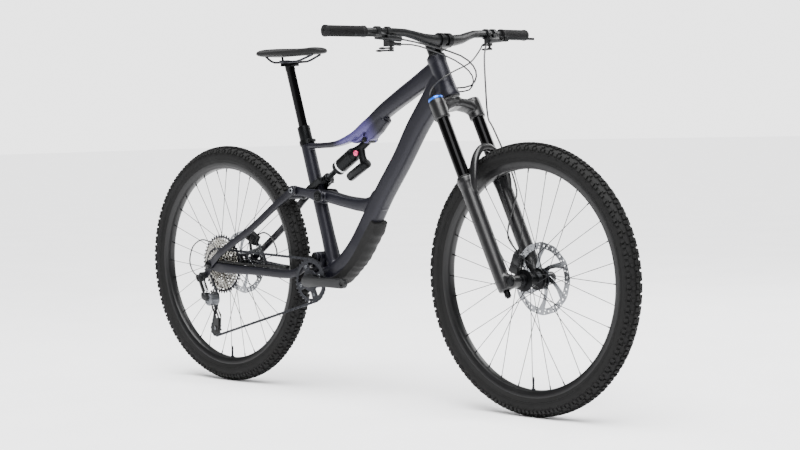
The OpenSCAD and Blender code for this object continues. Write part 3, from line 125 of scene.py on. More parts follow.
def finish(name, dark, light, grain, rough, metal=0.0, coat=0.0, bump=0.0, stretch=(1, 1, 1),
           detail=3.0, wear=None, coat_rough=0.1, sheen=0.0, distance=0.0002, specular=0.5,
           painted_sheen=None):
    """A finish: two shades mixed by a pattern of the given grain in millimetres, a range of
    roughness, a slower patchiness for dust and handling, and a fine relief."""
    m = bpy.data.materials.new(name)
    m.use_nodes = True
    t = m.node_tree
    s = t.nodes["Principled BSDF"]
    s.inputs["Metallic"].default_value = metal
    s.inputs["Coat Weight"].default_value = coat
    s.inputs["Coat Roughness"].default_value = coat_rough
    s.inputs["Sheen Weight"].default_value = sheen
    s.inputs["Specular IOR Level"].default_value = specular
    where = node(t, "ShaderNodeTexCoord").outputs["Object"]
    placed = node(t, "ShaderNodeMapping", {"Scale": stretch}, {"Vector": where}).outputs[0]
    fine = node(t, "ShaderNodeTexNoise", {"Scale": 1 / (grain * MM), "Detail": detail},
                {"Vector": placed}).outputs[0]
    slow = node(t, "ShaderNodeTexNoise", {"Scale": 14, "Detail": 4.0}, {"Vector": where}).outputs[0]
    shades = node(t, "ShaderNodeValToRGB", links={"Fac": fine})
    shades.color_ramp.elements[0].position, shades.color_ramp.elements[1].position = 0.3, 0.7
    shades.color_ramp.elements[0].color = linear(dark)
    shades.color_ramp.elements[1].color = linear(light)
    colour = shades.outputs[0]
    if wear:
        worn = node(t, "ShaderNodeMapRange",
                    {"From Min": 0.52, "From Max": 0.72, "To Max": 0.35}, {"Value": slow}).outputs[0]
        mix = node(t, "ShaderNodeMix", {"data_type": "RGBA"})
        t.links.new(worn, mix.inputs[0])
        t.links.new(colour, mix.inputs[6])
        mix.inputs[7].default_value = linear(wear)
        colour = mix.outputs[2]
    if painted_sheen:    # painted sheen: a lighter colour round a place on the frame, standing in for the colour-shifting paint's sheen there
        shade, centre, reach = painted_sheen
        away = node(t, "ShaderNodeVectorMath", {"operation": "DISTANCE", 1: tuple(centre * MM)},
                    {0: where})
        near = node(t, "ShaderNodeMapRange", {"interpolation_type": "SMOOTHSTEP", "From Min": reach * MM,
                    "From Max": reach * MM * 0.45}, {"Value": away.outputs["Value"]})
        mix = node(t, "ShaderNodeMix", {"data_type": "RGBA"})
        t.links.new(near.outputs[0], mix.inputs[0])
        t.links.new(colour, mix.inputs[6])
        mix.inputs[7].default_value = linear(shade)
        colour = mix.outputs[2]
    t.links.new(colour, s.inputs["Base Color"])
    patchy = node(t, "ShaderNodeMath", {"operation": "MULTIPLY_ADD", 1: 0.6}, {0: slow})
    t.links.new(node(t, "ShaderNodeMath", {"operation": "MULTIPLY", 1: 0.4}, {0: fine}).outputs[0],
                patchy.inputs[2])
    spread = node(t, "ShaderNodeMapRange", {"From Min": 0.3, "From Max": 0.7, "To Min": rough[0],
                                            "To Max": rough[1]}, {"Value": patchy.outputs[0]})
    t.links.new(spread.outputs[0], s.inputs["Roughness"])
    if bump:
        relief = node(t, "ShaderNodeBump", {"Strength": bump, "Distance": distance}, {"Height": fine})
        t.links.new(relief.outputs[0], s.inputs["Normal"])
    return m


# Satin metallic paint under a thin matt lacquer: fine flake that sparkles at low angles, with a painted
# lavender sheen round the brace under the top tube
PAINT = finish("satin violet metallic paint", "#0D0D14", "#14141D", 1.4, (0.34, 0.44), metal=0.45,
               coat=0.1, coat_rough=0.32, bump=0.05, detail=1.0,
               specular=0.3, painted_sheen=("#403A66", at(-28, 0, 768), 105))
PAINT_DARK = finish("satin slate metallic paint", "#0B0B11", "#121219", 1.4, (0.36, 0.46), metal=0.35,
                    coat=0.1, coat_rough=0.35, bump=0.05, detail=1.0, specular=0.3)
# Gloss black paint on magnesium castings: smooth, with a faint orange-peel
FORK_BLACK = finish("gloss black magnesium enamel", "#050506", "#08080A", 22, (0.3, 0.4), coat=0.12,
                    coat_rough=0.14, bump=0.05, specular=0.35)
# Hard anodised aluminium: fine bead-blasted grain, dull sheen
ANODISED = finish("black anodised aluminium", "#08090A", "#111214", 0.9, (0.3, 0.42), metal=0.85,
                  bump=0.12)
STANCHION = finish("polished black fork tube", "#0C0C0D", "#131314", 3, (0.1, 0.16), metal=0.9)
GREY_ALLOY = finish("grey anodised aluminium", "#56585C", "#6A6C70", 0.9, (0.3, 0.42), metal=0.9,
                    bump=0.12)
SATIN_BLACK = finish("satin black bar lacquer", "#08090A", "#0D0E0F", 6, (0.3, 0.4), specular=0.3)
CAST_BLACK = finish("black cast brake body", "#0B0C0D", "#151618", 1.2, (0.35, 0.5), metal=0.5,
                    bump=0.2)
# Machined and nickel-plated steel: bright, with fine turning marks
STEEL = finish("brushed stainless steel", "#6E7074", "#9A9C9F", 1.2, (0.2, 0.34), metal=1.0,
               stretch=(1, 6, 1), bump=0.08)
NICKEL = finish("nickel plated steel", "#7C7A75", "#A3A19B", 1.5, (0.18, 0.3), metal=1.0, bump=0.06)
DARK_STEEL = finish("blackened steel", "#1E1F22", "#2C2D31", 1.2, (0.3, 0.42), metal=0.9, bump=0.1)
SILVER = finish("silver anodised aluminium", "#A6A8AB", "#C4C6C9", 1.0, (0.22, 0.34), metal=1.0,
                bump=0.08)
# Moulded rubber: matt, a little dusty on the tread edges
TYRE_RUBBER = finish("moulded tyre rubber", "#060606", "#0B0B0B", 2.2, (0.62, 0.8), bump=0.35,
                     wear="#121110", specular=0.18)
GRIP_RUBBER = finish("soft grip rubber", "#050506", "#0A0A0B", 1.2, (0.6, 0.75), bump=0.3,
                     specular=0.2)
RIM_BLACK = finish("satin black rim", "#060607", "#0B0B0C", 3, (0.3, 0.4), metal=0.2, specular=0.35)
SPOKE_BLACK = finish("blackened spoke wire", "#141416", "#232326", 2, (0.25, 0.35), metal=0.8)
GUARD = finish("moulded guard rubber", "#050505", "#0A0A0A", 1.6, (0.55, 0.7), bump=0.3, specular=0.2)
HOSE = finish("black nylon hose", "#0B0B0C", "#121213", 3, (0.3, 0.42), coat=0.15, coat_rough=0.25)
# Pebbled synthetic leather over foam: 1.4 mm grain
SADDLE_COVER = finish("pebbled saddle cover", "#080808", "#101011", 1.4, (0.5, 0.65), bump=0.5,
                      distance=0.0003, specular=0.2)
NYLON = finish("glass-filled black nylon", "#08090A", "#0F1011", 1.5, (0.42, 0.56), bump=0.2,
               specular=0.3)
BLUE = finish("blue anodised aluminium", "#0F58C8", "#1E6BE0", 1.0, (0.25, 0.35), metal=0.7, bump=0.08)
PINK = finish("magenta anodised aluminium", "#C02A5E", "#DE4677", 1.0, (0.25, 0.35), metal=0.5,
              bump=0.08)
WHITE = finish("white printed mark", "#C9CACC", "#DEDFE1", 2, (0.4, 0.5))


# ---- making meshes ----
class Shape:
    """Corners in millimetres and faces, gathered before they become one mesh."""

    def __init__(self):
        self.corners, self.faces, self.shades = [], [], []

    def add(self, corners, faces, shade=0, place=None):
        start = len(self.corners)
        self.corners += [place @ Vector(c) if place else Vector(c) for c in corners]
        self.faces += [[start + i for i in f] for f in faces]
        self.shades += [shade] * len(faces)

    def skin(self, rings, shade=0, closed=False, place=None):
        """Joins rings of equal count, with caps unless the path is closed."""
        n = len(rings[0])
        faces = []
        last = len(rings) if closed else len(rings) - 1
        for i in range(last):
            a, b = i * n, (i + 1) % len(rings) * n
            faces += [[a + k, a + (k + 1) % n, b + (k + 1) % n, b + k] for k in range(n)]
        if not closed:
            faces += [list(range(n))[::-1], [(len(rings) - 1) * n + k for k in range(n)]]
        self.add([p for r in rings for p in r], faces, shade, place)


def curve_through(points, n=6):
    """Smooth path through given points, with n steps between each pair."""
    q = [points[0] * 2 - points[1]] + list(points) + [points[-1] * 2 - points[-2]]
    out = []
    for i in range(1, len(q) - 2):
        a, b, c, d = q[i - 1:i + 3]
        for k in range(n):
            t = k / n
            out.append(0.5 * (2 * b + (c - a) * t + (2 * a - 5 * b + 4 * c - d) * t * t
                              + (3 * b - a - 3 * c + d) * t ** 3))
    return out + [points[-1]]


def tube(shape, path, half, sides=16, power=2.0, shade=0, across=None, closed=False):
    """Sweeps a rounded section along a path. half is one size, or (across, deep) for each point.
    With across the section keeps that direction level, otherwise it is carried along."""
    rings, side = [], None
    for i, p in enumerate(path):
        a = path[i - 1] if i or closed else path[0]
        b = path[(i + 1) % len(path)] if i + 1 < len(path) or closed else path[-1]
        along = (b - a).normalized()
        if across:
            side = (across - along * across.dot(along)).normalized()
        elif side is None:
            side = along.orthogonal().normalized()
        else:
            side = (side - along * side.dot(along)).normalized()
        deep = along.cross(side)
        h = half[i] if isinstance(half, (list, tuple)) else half
        w, d = h if isinstance(h, (list, tuple)) else (h, h)
        ring = []
        for k in range(sides):
            c, s = cos(2 * pi * k / sides), sin(2 * pi * k / sides)
            ring.append(p + side * w * math.copysign(abs(c) ** (2 / power), c)
                        + deep * d * math.copysign(abs(s) ** (2 / power), s))
        rings.append(ring)
    shape.skin(rings, shade, closed)


def blended(values, n):
    """Section sizes for a path made by curve_through(points, n)."""
    out = []
    for (w0, d0), (w1, d1) in zip(values, values[1:]):
        for k in range(n):
            t = k / n
            t = t * t * (3 - 2 * t)
            out.append((w0 + (w1 - w0) * t, d0 + (d1 - d0) * t))
    return out + [values[-1]]


def turned(shape, centre, axis, profile, sides=48, shade=0, closed=False):
    """A turned piece: profile is (radius, distance along the axis)."""
    axis = axis.normalized()
    a = axis.orthogonal().normalized() if abs(axis.y) < 0.99 else UP
    b = axis.cross(a)
    rings = []
    for r, d in profile:
        rings.append([centre + axis * d + r * (cos(2 * pi * k / sides) * a + sin(2 * pi * k / sides) * b)
                      for k in range(sides)])
    shape.skin(rings, shade, closed)


def disc(r, half, cut=1.0, ease=0.9):
    """Profile of a round boss with softened edges, for turned()."""
    return [(r - cut, -half), (r, ease - half), (r, half - ease), (r - cut, half)]


def rod(shape, a, b, r, r_end=None, sides=24, shade=0, edge=0.6):
    """Round bar with softened ends."""
    r_end = r if r_end is None else r_end
    length = (b - a).length
    e = min(edge, r * 0.4, length * 0.3)
    turned(shape, a, b - a, [(r - e, 0), (r, e), (r_end, length - e), (r_end - e, length)], sides, shade)


def bolt(shape, centre, axis, r, head=3.0, shade=0):
    """Button head with a six-sided socket; centre is its seat and axis points outward."""
    axis = axis.normalized()
    turned(shape, centre, axis, [(r, -0.5), (r, head * 0.5), (r * 0.86, head), (r * 0.5, head)], 24, shade)
    turned(shape, centre, axis, [(r * 0.5, head), (r * 0.48, head * 0.4), (0.05, head * 0.35)], 6, shade)


def circle(x, z, r, n=24, turn=0.0):
    return [(x + r * cos(2 * pi * k / n + turn), z + r * sin(2 * pi * k / n + turn)) for k in range(n)]


def plate(shape, outlines, thick, place, bevel=0.4, shade=0):
    """A flat piece with holes: outlines in its own plane, thick along its own Z, centred."""
    c = bpy.data.curves.new("outline", "CURVE")
    c.dimensions, c.fill_mode = "2D", "BOTH"
    c.extrude, c.bevel_depth, c.bevel_resolution = max(thick / 2 - bevel, 0.01), bevel, 0
    c.offset = -bevel
    for line in outlines:
        s = c.splines.new("POLY")
        s.points.add(len(line) - 1)
        for p, xy in zip(s.points, line):
            p.co = (xy[0], xy[1], 0, 1)
        s.use_cyclic_u = True
    o = bpy.data.objects.new("outline", c)
    bpy.context.collection.objects.link(o)
    m = bpy.data.meshes.new_from_object(o.evaluated_get(bpy.context.evaluated_depsgraph_get()))
    shape.add([v.co for v in m.vertices], [list(f.vertices) for f in m.polygons], shade, place)
    bpy.data.objects.remove(o)
    bpy.data.curves.remove(c)
    bpy.data.meshes.remove(m)


def side_view(y, centre=at(0, 0, 0)):
    """Puts a flat outline in the bike's side view at the distance y, round a centre."""
    return Matrix(((1, 0, 0, centre.x), (0, 0, 1, y), (0, 1, 0, centre.z), (0, 0, 0, 1)))


def facing(centre, x_axis, z_axis):
    """A place whose own X and Z point along the two given directions."""
    z = z_axis.normalized()
    x = (x_axis - z * x_axis.dot(z)).normalized()
    y = z.cross(x)
    m = Matrix((x, y, z)).transposed().to_4x4()
    m.translation = centre
    return m


def rounded(w, h, r, n=5):
    """Outline of a rectangle with round corners."""
    out = []
    for cx, cy, a in ((w / 2 - r, h / 2 - r, 0), (r - w / 2, h / 2 - r, 90),
                      (r - w / 2, r - h / 2, 180), (w / 2 - r, r - h / 2, 270)):
        out += [(cx + r * cos(radians(a + 90 * k / n)), cy + r * sin(radians(a + 90 * k / n)))
                for k in range(n + 1)]
    return out


def mesh_of(name, shape, finishes, sharp=35):
    m = bpy.data.meshes.new(name)
    m.from_pydata([c * MM for c in shape.corners], [], shape.faces)
    for f in finishes:
        m.materials.append(f)
    m.polygons.foreach_set("material_index", shape.shades)
    b = bmesh.new()
    b.from_mesh(m)
    bmesh.ops.remove_doubles(b, verts=b.verts, dist=0.000002)
    bmesh.ops.recalc_face_normals(b, faces=b.faces)
    b.to_mesh(m)
    b.free()
    m.shade_smooth()
    m.set_sharp_from_angle(angle=radians(sharp))
    return m


def piece(name, shape, body, nodes, finishes, sharp=35, bevel=0.0):
    """Makes a shape, or a mesh, one of the bike's pieces."""
    m = shape if isinstance(shape, bpy.types.Mesh) else mesh_of(name, shape, finishes, sharp)
    label = name.replace(" ", "-")
    o = bpy.data.objects.new(label + "-piece" if label in bpy.data.objects else label, m)
    bpy.context.collection.objects.link(o)
    if bevel:
        b = o.modifiers.new("Edges", "BEVEL")
        b.width, b.segments, b.limit_method, b.angle_limit = bevel * MM, 2, "ANGLE", radians(40)
    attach(o, body)
    if nodes:
        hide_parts(*nodes)
    return o


def moulded(name, shape, voxel, rounds, finishes):
    """Melts overlapping parts of a shape into one skin with soft fillets."""
    m = bpy.data.meshes.new(name)
    m.from_pydata([c * MM for c in shape.corners], [], shape.faces)
    b = bmesh.new()
    b.from_mesh(m)
    bmesh.ops.recalc_face_normals(b, faces=b.faces)
    b.to_mesh(m)
    b.free()
    o = bpy.data.objects.new(name, m)
    bpy.context.collection.objects.link(o)
    r = o.modifiers.new("Melt", "REMESH")
    r.mode, r.voxel_size, r.use_smooth_shade = "VOXEL", voxel * MM, True
    s = o.modifiers.new("Soften", "SMOOTH")
    s.factor, s.iterations = 0.5, rounds
    out = bpy.data.meshes.new_from_object(o.evaluated_get(bpy.context.evaluated_depsgraph_get()))
    bpy.data.objects.remove(o)
    out.name = name
    out.materials.clear()
    for f in finishes:
        out.materials.append(f)
    out.shade_smooth()
    return out


def body_of_node(name):
    for body, names in frame["record"]["behaviour"]["bodies"].items():
        if name in names:
            return body
    return None


def from_cad(names, material, sharp=30, bevel=0.0):
    """Pieces whose real shape is the CAD shape: a merged copy takes the finish."""
    for name in names.split():
        m = frame["nodes"][name].data.copy()
        m.name = name + " finished"
        b = bmesh.new()
        b.from_mesh(m)
        bmesh.ops.remove_doubles(b, verts=b.verts, dist=0.000005)
        b.to_mesh(m)
        b.free()
        m.materials.clear()
        m.materials.append(material)
        m.polygons.foreach_set("material_index", [0] * len(m.polygons))
        m.shade_smooth()
        m.set_sharp_from_angle(angle=radians(sharp))
        piece(m.name, m, body_of_node(name), [name], [material], bevel=bevel)


def evaluated_mesh(o, name):
    m = bpy.data.meshes.new_from_object(o.evaluated_get(bpy.context.evaluated_depsgraph_get()))
    m.name = name
    m.shade_smooth()
    m.set_sharp_from_angle(angle=radians(35))
    return m


# ---- repeating pieces, by Geometry Nodes ----
def repeat_tree(name, along_path):
    """Repeats an item round an axle that lies across the bike, or along a path where two items
    take turns, then makes it one mesh with its finish."""
    t = bpy.data.node_groups.new(name, "GeometryNodeTree")
    face = t.interface
    face.new_socket("Path", in_out="INPUT", socket_type="NodeSocketGeometry")
    for label, kind in (("Item", "NodeSocketObject"), ("Second item", "NodeSocketObject"),
                        ("Count", "NodeSocketInt"), ("Axle", "NodeSocketVector"),
                        ("Start angle", "NodeSocketFloat"), ("Finish", "NodeSocketMaterial")):
        face.new_socket(label, in_out="INPUT", socket_type=kind)
    face.new_socket("Mesh", in_out="OUTPUT", socket_type="NodeSocketGeometry")
    given = node(t, "NodeGroupInput").outputs
    index = node(t, "GeometryNodeInputIndex").outputs[0]
    item = node(t, "GeometryNodeObjectInfo", {"As Instance": True}, {"Object": given["Item"]})
    if along_path:
        other = node(t, "GeometryNodeObjectInfo", {"As Instance": True},
                     {"Object": given["Second item"]})
        points = node(t, "GeometryNodeCurveToPoints", {"mode": "COUNT"},
                      {"Curve": given["Path"], "Count": given["Count"]})
        aim = node(t, "FunctionNodeAlignRotationToVector", {"axis": "X"},
                   {"Vector": points.outputs["Tangent"]})
        odd = node(t, "ShaderNodeMath", {"operation": "MODULO", 1: 2.0}, {0: index}).outputs[0]
        even = node(t, "ShaderNodeMath", {"operation": "LESS_THAN", 1: 0.5}, {0: odd}).outputs[0]
        both = node(t, "GeometryNodeJoinGeometry")
        for pick, what in ((odd, item), (even, other)):
            some = node(t, "GeometryNodeInstanceOnPoints", (),
                        {"Points": points.outputs[0], "Selection": pick,
                         "Instance": what.outputs["Geometry"], "Rotation": aim.outputs[0]})
            t.links.new(some.outputs[0], both.inputs[0])
        placed = both.outputs[0]
    else:
        line = node(t, "GeometryNodeMeshLine", {"Offset": (0, 0, 0)}, {"Count": given["Count"]})
        some = node(t, "GeometryNodeInstanceOnPoints", (),
                    {"Points": line.outputs[0], "Instance": item.outputs["Geometry"]})
        share = node(t, "ShaderNodeMath", {"operation": "DIVIDE", 0: 2 * pi}, {1: given["Count"]})
        angle = node(t, "ShaderNodeMath", {"operation": "MULTIPLY_ADD"},
                     {0: index, 1: share.outputs[0], 2: given["Start angle"]})
        spin = node(t, "ShaderNodeCombineXYZ", (), {"Y": angle.outputs[0]})
        turn = node(t, "FunctionNodeEulerToRotation", (), {0: spin.outputs[0]})
        placed = node(t, "GeometryNodeRotateInstances", {"Local Space": False},
                      {"Instances": some.outputs[0], "Rotation": turn.outputs[0],
                       "Pivot Point": given["Axle"]}).outputs[0]
    real = node(t, "GeometryNodeRealizeInstances", (), {"Geometry": placed})
    made = node(t, "GeometryNodeSetMaterial", (),
                {"Geometry": real.outputs[0], "Material": given["Finish"]})
    out = node(t, "NodeGroupOutput")
    t.links.new(made.outputs[0], out.inputs[0])
    return t


ROUND_AXLE = repeat_tree("Repeat round an axle", False)
ALONG_PATH = repeat_tree("Repeat along a path", True)


def repeated(name, tree, shapes, count, finish_used, axle=at(0, 0, 0), start=0.0, path=None):
    """Runs a repeat tree and returns the plain mesh."""
    items = []
    for s in shapes:
        o = bpy.data.objects.new(name + " item", mesh_of(name + " item", s, [finish_used]))
        bpy.context.collection.objects.link(o)
        items.append(o)
    if path:
        c = bpy.data.curves.new(name, "CURVE")
        c.dimensions = "3D"
        s = c.splines.new("POLY")
        s.points.add(len(path) - 1)
        for p, q in zip(s.points, path):
            p.co = (*(q * MM), 1)
        s.use_cyclic_u = True
        host = bpy.data.objects.new(name, c)
    else:
        host = bpy.data.objects.new(name, bpy.data.meshes.new(name))
    bpy.context.collection.objects.link(host)
    mod = host.modifiers.new("Repeat", "NODES")
    mod.node_group = tree
    given = {"Item": items[0], "Second item": items[-1], "Count": count,
             "Axle": tuple(axle * MM), "Start angle": start, "Finish": finish_used}
    for socket in tree.interface.items_tree:
        if socket.in_out == "INPUT" and socket.name in given:
            mod[socket.identifier] = given[socket.name]
    host.update_tag()
    m = evaluated_mesh(host, name)
    for o in items + [host]:
        bpy.data.objects.remove(o)
    return m


def joined(meshes, name):
    """Several plain meshes as one, each keeping its finish."""
    out = bmesh.new()
    finishes = []
    for m in meshes:
        start = len(out.faces)
        out.from_mesh(m)
        out.faces.ensure_lookup_table()
        table = {}
        for i, f in enumerate(m.materials):
            if f not in finishes:
                finishes.append(f)
            table[i] = finishes.index(f)
        for f in out.faces[start:]:
            f.material_index = table.get(f.material_index, 0)
    result = bpy.data.meshes.new(name)
    out.to_mesh(result)
    out.free()
    for f in finishes:
        result.materials.append(f)
    return result


# ---- wheels ----
def section_point(angle):
    """A point of the tyre's carcass and its outward direction, across the tread, from the crown.
    Returns distance from the axle, distance sideways and the two parts of the direction."""
    r = TYRE_W / 2 - 4.5
    centre = TYRE_R - 5 - r
    return centre + r * cos(angle) * 1.0, r * sin(angle) * 1.04, cos(angle), sin(angle)


def knob(shape, centre, angle, around, wide, long, tall, skew=0.0):
    """One tread block: across the tread at the angle, and round the tyre at the distance around."""
    d, y, nd, ny = section_point(radians(angle))
    turn = around / TYRE_R
    out_dir = at(sin(turn) * nd, ny, cos(turn) * nd)
    forward = at(cos(turn), 0, -sin(turn))
    side = out_dir.cross(forward)
    base = centre + at(sin(turn) * d, y, cos(turn) * d) - out_dir * 1.5

    def ring(h, k):
        return [base + out_dir * h + side * (a * wide / 2 * k) + forward * (b * long / 2 * k + skew * a)
                for a, b in ((1, 1), (-1, 1), (-1, -1), (1, -1))]

    shape.skin([ring(0, 1.15), ring(tall + 0.9, 1.0), ring(tall + 1.5, 0.86)])


def tyre(name, axle, body, node_name):
    carcass = Shape()
    r = TYRE_W / 2 - 4.5
    mid = TYRE_R - 5 - r
    profile = [(mid + r * cos(a), r * sin(a) * 1.04) for a in
               [radians(-128 + 256 * k / 40) for k in range(41)]]
    profile += [(316.5, 15.5), (316.5, 13.0), (330, 20), (338, 22), (338, -22), (330, -20),
                (316.5, -13.0), (316.5, -15.5)]
    turned(carcass, axle, ACROSS, profile, 192, closed=True)
    for side in (-1, 1):    # moulded ribs on the sidewall
        for rr, bulge in ((333, 0.5), (329, 0.5)):
            a = math.acos(max(-1, min(1, (rr - mid) / r)))
            turned(carcass, axle, ACROSS, [(rr + q * 0.8, side * (r * sin(a) * 1.04 + h)) for q, h in
                                           ((-1, -0.6), (-0.5, bulge), (0.5, bulge), (1, -0.6))], 128,
                   closed=True)
    group = Shape()
    for side in (-1, 1):
        knob(group, axle, side * 9, 0, 8.0, 10.5, 4.6, side * 1.0)
        knob(group, axle, side * 12, 15.5, 10.0, 8.5, 4.6)
        knob(group, axle, side * 36, 7.5, 6.5, 7.0, 4.2)
        knob(group, axle, side * 58, 1, 9.0, 9.0, 4.8, side * 0.8)
        knob(group, axle, side * 57, 15.5, 8.0, 7.5, 4.8)
        knob(group, axle, side * 76, 8.2, 2.2, 5.5, 1.6)
    tread = repeated(name + " tread", ROUND_AXLE, [group], 76, TYRE_RUBBER, axle)
    piece(name, joined([mesh_of(name, carcass, [TYRE_RUBBER]), tread], name), body, [node_name],
          [TYRE_RUBBER])


def rim(name, axle, body, node_name):
    s = Shape()
    turned(s, axle, ACROSS, [(309.6, -17.3), (310, -17.5), (320.5, -17.5), (321, -17.0), (321, -15.4),
                             (318, -14.8), (314, -14.8), (312, -8), (308, -5), (308, 5), (312, 8),
                             (314, 14.8), (318, 14.8), (321, 15.4), (321, 17.0), (320.5, 17.5),
                             (310, 17.5), (309.6, 17.3), (302, 13.5), (299.6, 9), (299, 4), (299, -4),
                             (299.6, -9), (302, -13.5)], 192, closed=True)
    # valve with its knurled nut and cap
    v = axle + at(0, 0, -299.5)
    rod(s, v, v + at(0, 0, 26), 3.0, shade=1)
    rod(s, v + at(0, 0, -0.5), v + at(0, 0, 4), 5.5, shade=1)
    rod(s, v + at(0, 0, 24), v + at(0, 0, 36), 3.8, 2.6, shade=1)
    piece(name, s, body, [node_name], [RIM_BLACK, DARK_STEEL])


def spokes(name, axle, body, node_name, flanges):
    """Each group has two spokes from each flange that cross, with their nipples at the rim."""
    s = Shape()
    step = 2 * pi / 8
    for side, (flange_y, flange_r) in zip((-1, 1), flanges):
        for lead, a in ((-1, 0.0), (1, step / 2)):
            a += step / 4 if side > 0 else 0
            hub_a = a + lead * radians(62)
            foot = axle + at(flange_r * sin(hub_a), flange_y + lead * 1.4, flange_r * cos(hub_a))
            head = axle + at(300.5 * sin(a), side * 3.2, 300.5 * cos(a))
            tube(s, [foot, head], [1.05, 1.05], 8)
            aim = (head - foot).normalized()
            tube(s, [head - aim * 12, head - aim * 11.4, head + aim * 1.5], [1.5, 1.9, 1.9], 8)
            tube(s, [foot - lead * 2.6 * ACROSS, foot + lead * 1.4 * ACROSS], [2.0, 1.4], 8)
    m = repeated(name, ROUND_AXLE, [s], 8, SPOKE_BLACK, axle)
    piece(name, m, body, [node_name], [SPOKE_BLACK])


def rotor(name, axle, body, node_name, y):
    """Brake disc: a wavy drilled band carried by swept arms, with a splined lock ring."""
    s = Shape()
    outer = [(( 99 + 0.9 * cos(12 * a)) * sin(a), (99 + 0.9 * cos(12 * a)) * cos(a))
             for a in [2 * pi * k / 144 for k in range(144)]]
    holes = []
    for k in range(6):      # windows between the swept arms
        a0 = k * pi / 3
        edge = [(81.0, a0 + 0.15 + 0.80 * i / 10) for i in range(11)]
        edge += [(60, a0 + 0.80), (42, a0 + 0.55), (31, a0 + 0.32)]
        edge += [(29, a0 + 0.10), (30, a0 - 0.26)]
        edge += [(42, a0 - 0.18), (60, a0 - 0.02)]
        holes.append([(r * sin(a), r * cos(a)) for r, a in edge])
    for k in range(36):
        a = 2 * pi * (k + 0.5) / 36
        for r in ((86.2, 94.0) if k % 2 else (90.2,)):
            b = a + (0.02 if r > 90 else -0.02)
            holes.append(circle(r * sin(b), r * cos(b), 2.3 if r != 90.2 else 2.9, 10))
    holes.append(circle(0, 0, 18, 36))
    plate(s, [outer] + holes, 1.8, side_view(y, axle), 0.15)
    turned(s, axle + at(0, y, 0), ACROSS, [(26, -3.2), (27, -2.4), (27, 2.4), (26, 3.2), (17.5, 3.2),
                                          (17.5, -3.2)], 48, 1, closed=True)
    for k in range(12):
        a = 2 * pi * k / 12
        p = axle + at(24.2 * sin(a), y, 24.2 * cos(a))
        rod(s, p - 3.6 * ACROSS, p + 3.6 * ACROSS, 1.7, sides=8, shade=1)
    piece(name, s, body, [node_name], [STEEL, DARK_STEEL])


def hub(name, axle, body, node_name, half, flanges, shell_r):
    s = Shape()
    (y0, r0), (y1, r1) = flanges
    profile = [(9, -half), (13, -half + 0.6), (14, -half + 9), (17, -half + 11), (18, y0 - 5),
               (r0 - 1, y0 - 3.4), (r0 + 3, y0 - 2.6), (r0 + 3.6, y0), (r0 + 3, y0 + 2.6),
               (r0 - 3, y0 + 3.6), (shell_r, y0 + 12), (shell_r - 0.8, 0), (shell_r, y1 - 12),
               (r1 - 3, y1 - 3.6), (r1 + 3, y1 - 2.6), (r1 + 3.6, y1), (r1 + 3, y1 + 2.6),
               (18, y1 + 4), (17, half - 8), (13, half - 6), (12, half - 0.6), (9, half)]
    turned(s, axle, ACROSS, profile, 64)
    piece(name, s, body, [node_name], [ANODISED], sharp=28)


# ---- frame ----
def frame_skin():
    """The front triangle as one moulded skin: shaped tubes that run into each other."""
    s = Shape()
    turned(s, on_steer(HEAD_LOW), STEER_UP, [(27.5, 0), (28.5, 2), (28.5, 10), (26, 24), (25, 60),
                                             (25.4, 108), (27.4, 122), (27.4, 129), (26.6, 130)], 64)
    down = [on_steer(HEAD_LOW + 52, -4), at(226, 0, 800), at(155, 0, 700), at(76, 0, 600),
            at(14, 0, 512), at(-40, 0, 436), at(-110, 0, 378), at(-186, 0, 344)]
    tube(s, curve_through(down, 6),
         blended([(25, 36), (25.5, 30), (26, 27), (26, 27), (27, 28), (31, 29), (33, 27), (34, 24)], 6),
         40, 3.6, across=ACROSS)
    top = [on_steer(HEAD_TOP - 36, -2), at(200, 0, 898), at(100, 0, 846), at(20, 0, 800),
           at(-50, 0, 766), at(-120, 0, 746), at(-190, 0, 741), at(-253, 0, 741)]
    tube(s, curve_through(top, 6),
         blended([(21, 30), (20, 25.5), (21, 23), (21, 18), (19, 11.5), (17, 9), (16, 8.5), (16, 9)], 6),
         36, 3.2, across=ACROSS)
    # shock bracket below the top tube, with its window left open under the brace
    tube(s, curve_through([at(78, 0, 826), at(56, 0, 798), at(34, 0, 774), at(20, 0, 760)], 5),
         blended([(20, 30), (20, 25), (20, 18), (20, 12)], 5), 28, 3.0, across=ACROSS)
    tube(s, curve_through([at(4, 0, 768), at(-30, 0, 752), at(-62, 0, 757), at(-92, 0, 757)], 5),
         blended([(17, 8), (15, 6), (15, 6), (15, 6)], 5), 24, 3.0, across=ACROSS)
    seat = [on_seat(-6), on_seat(60), on_seat(150), on_seat(235), on_seat(300), on_seat(433)]
    tube(s, curve_through(seat, 6),
         blended([(30, 22), (24, 20), (20.6, 20), (20.6, 20), (20, 20), (19.7, 19.7)], 6), 40, 2.2,
         across=ACROSS)
    tube(s, curve_through([at(-206, 0, 590), at(-160, 0, 588), at(-90, 0, 575), at(-20, 0, 566),
                           at(30, 0, 566), at(62, 0, 582)], 6),
         blended([(20, 20), (20, 18), (19, 18), (20, 20), (23, 26), (24, 34)], 6), 32, 3.4,
         across=ACROSS)
    turned(s, BB, ACROSS, [(22, -36.5), (23.4, -35.8), (23.6, -30), (23.6, 30), (23.4, 35.8),
                           (22, 36.5)], 64)
    turned(s, ROCKER, ACROSS, disc(16, 24, 1, 1), 40)
    turned(s, MAIN, ACROSS, disc(16, 24, 1, 1), 40)
    tube(s, [MAIN + at(0, 0, 0), MAIN + at(-12, 0, -40), BB], [(22, 22), (24, 24), (30, 22)], 28, 3.0,
         across=ACROSS)
    for side in (-1, 1):    # ears that hold the shock's eye
        turned(s, SHOCK + side * 16.6 * ACROSS, ACROSS, [(10, -3.4), (11.5, -2.6), (11.5, 3.4),
                                                        (10, 4.0)], 32)
    m = moulded("frame skin", s, 2.3, 5, [PAINT])
    piece("frame", m, "frame", ["head_tube", "top_tube", "down_tube", "seat_tube"],
          [PAINT])


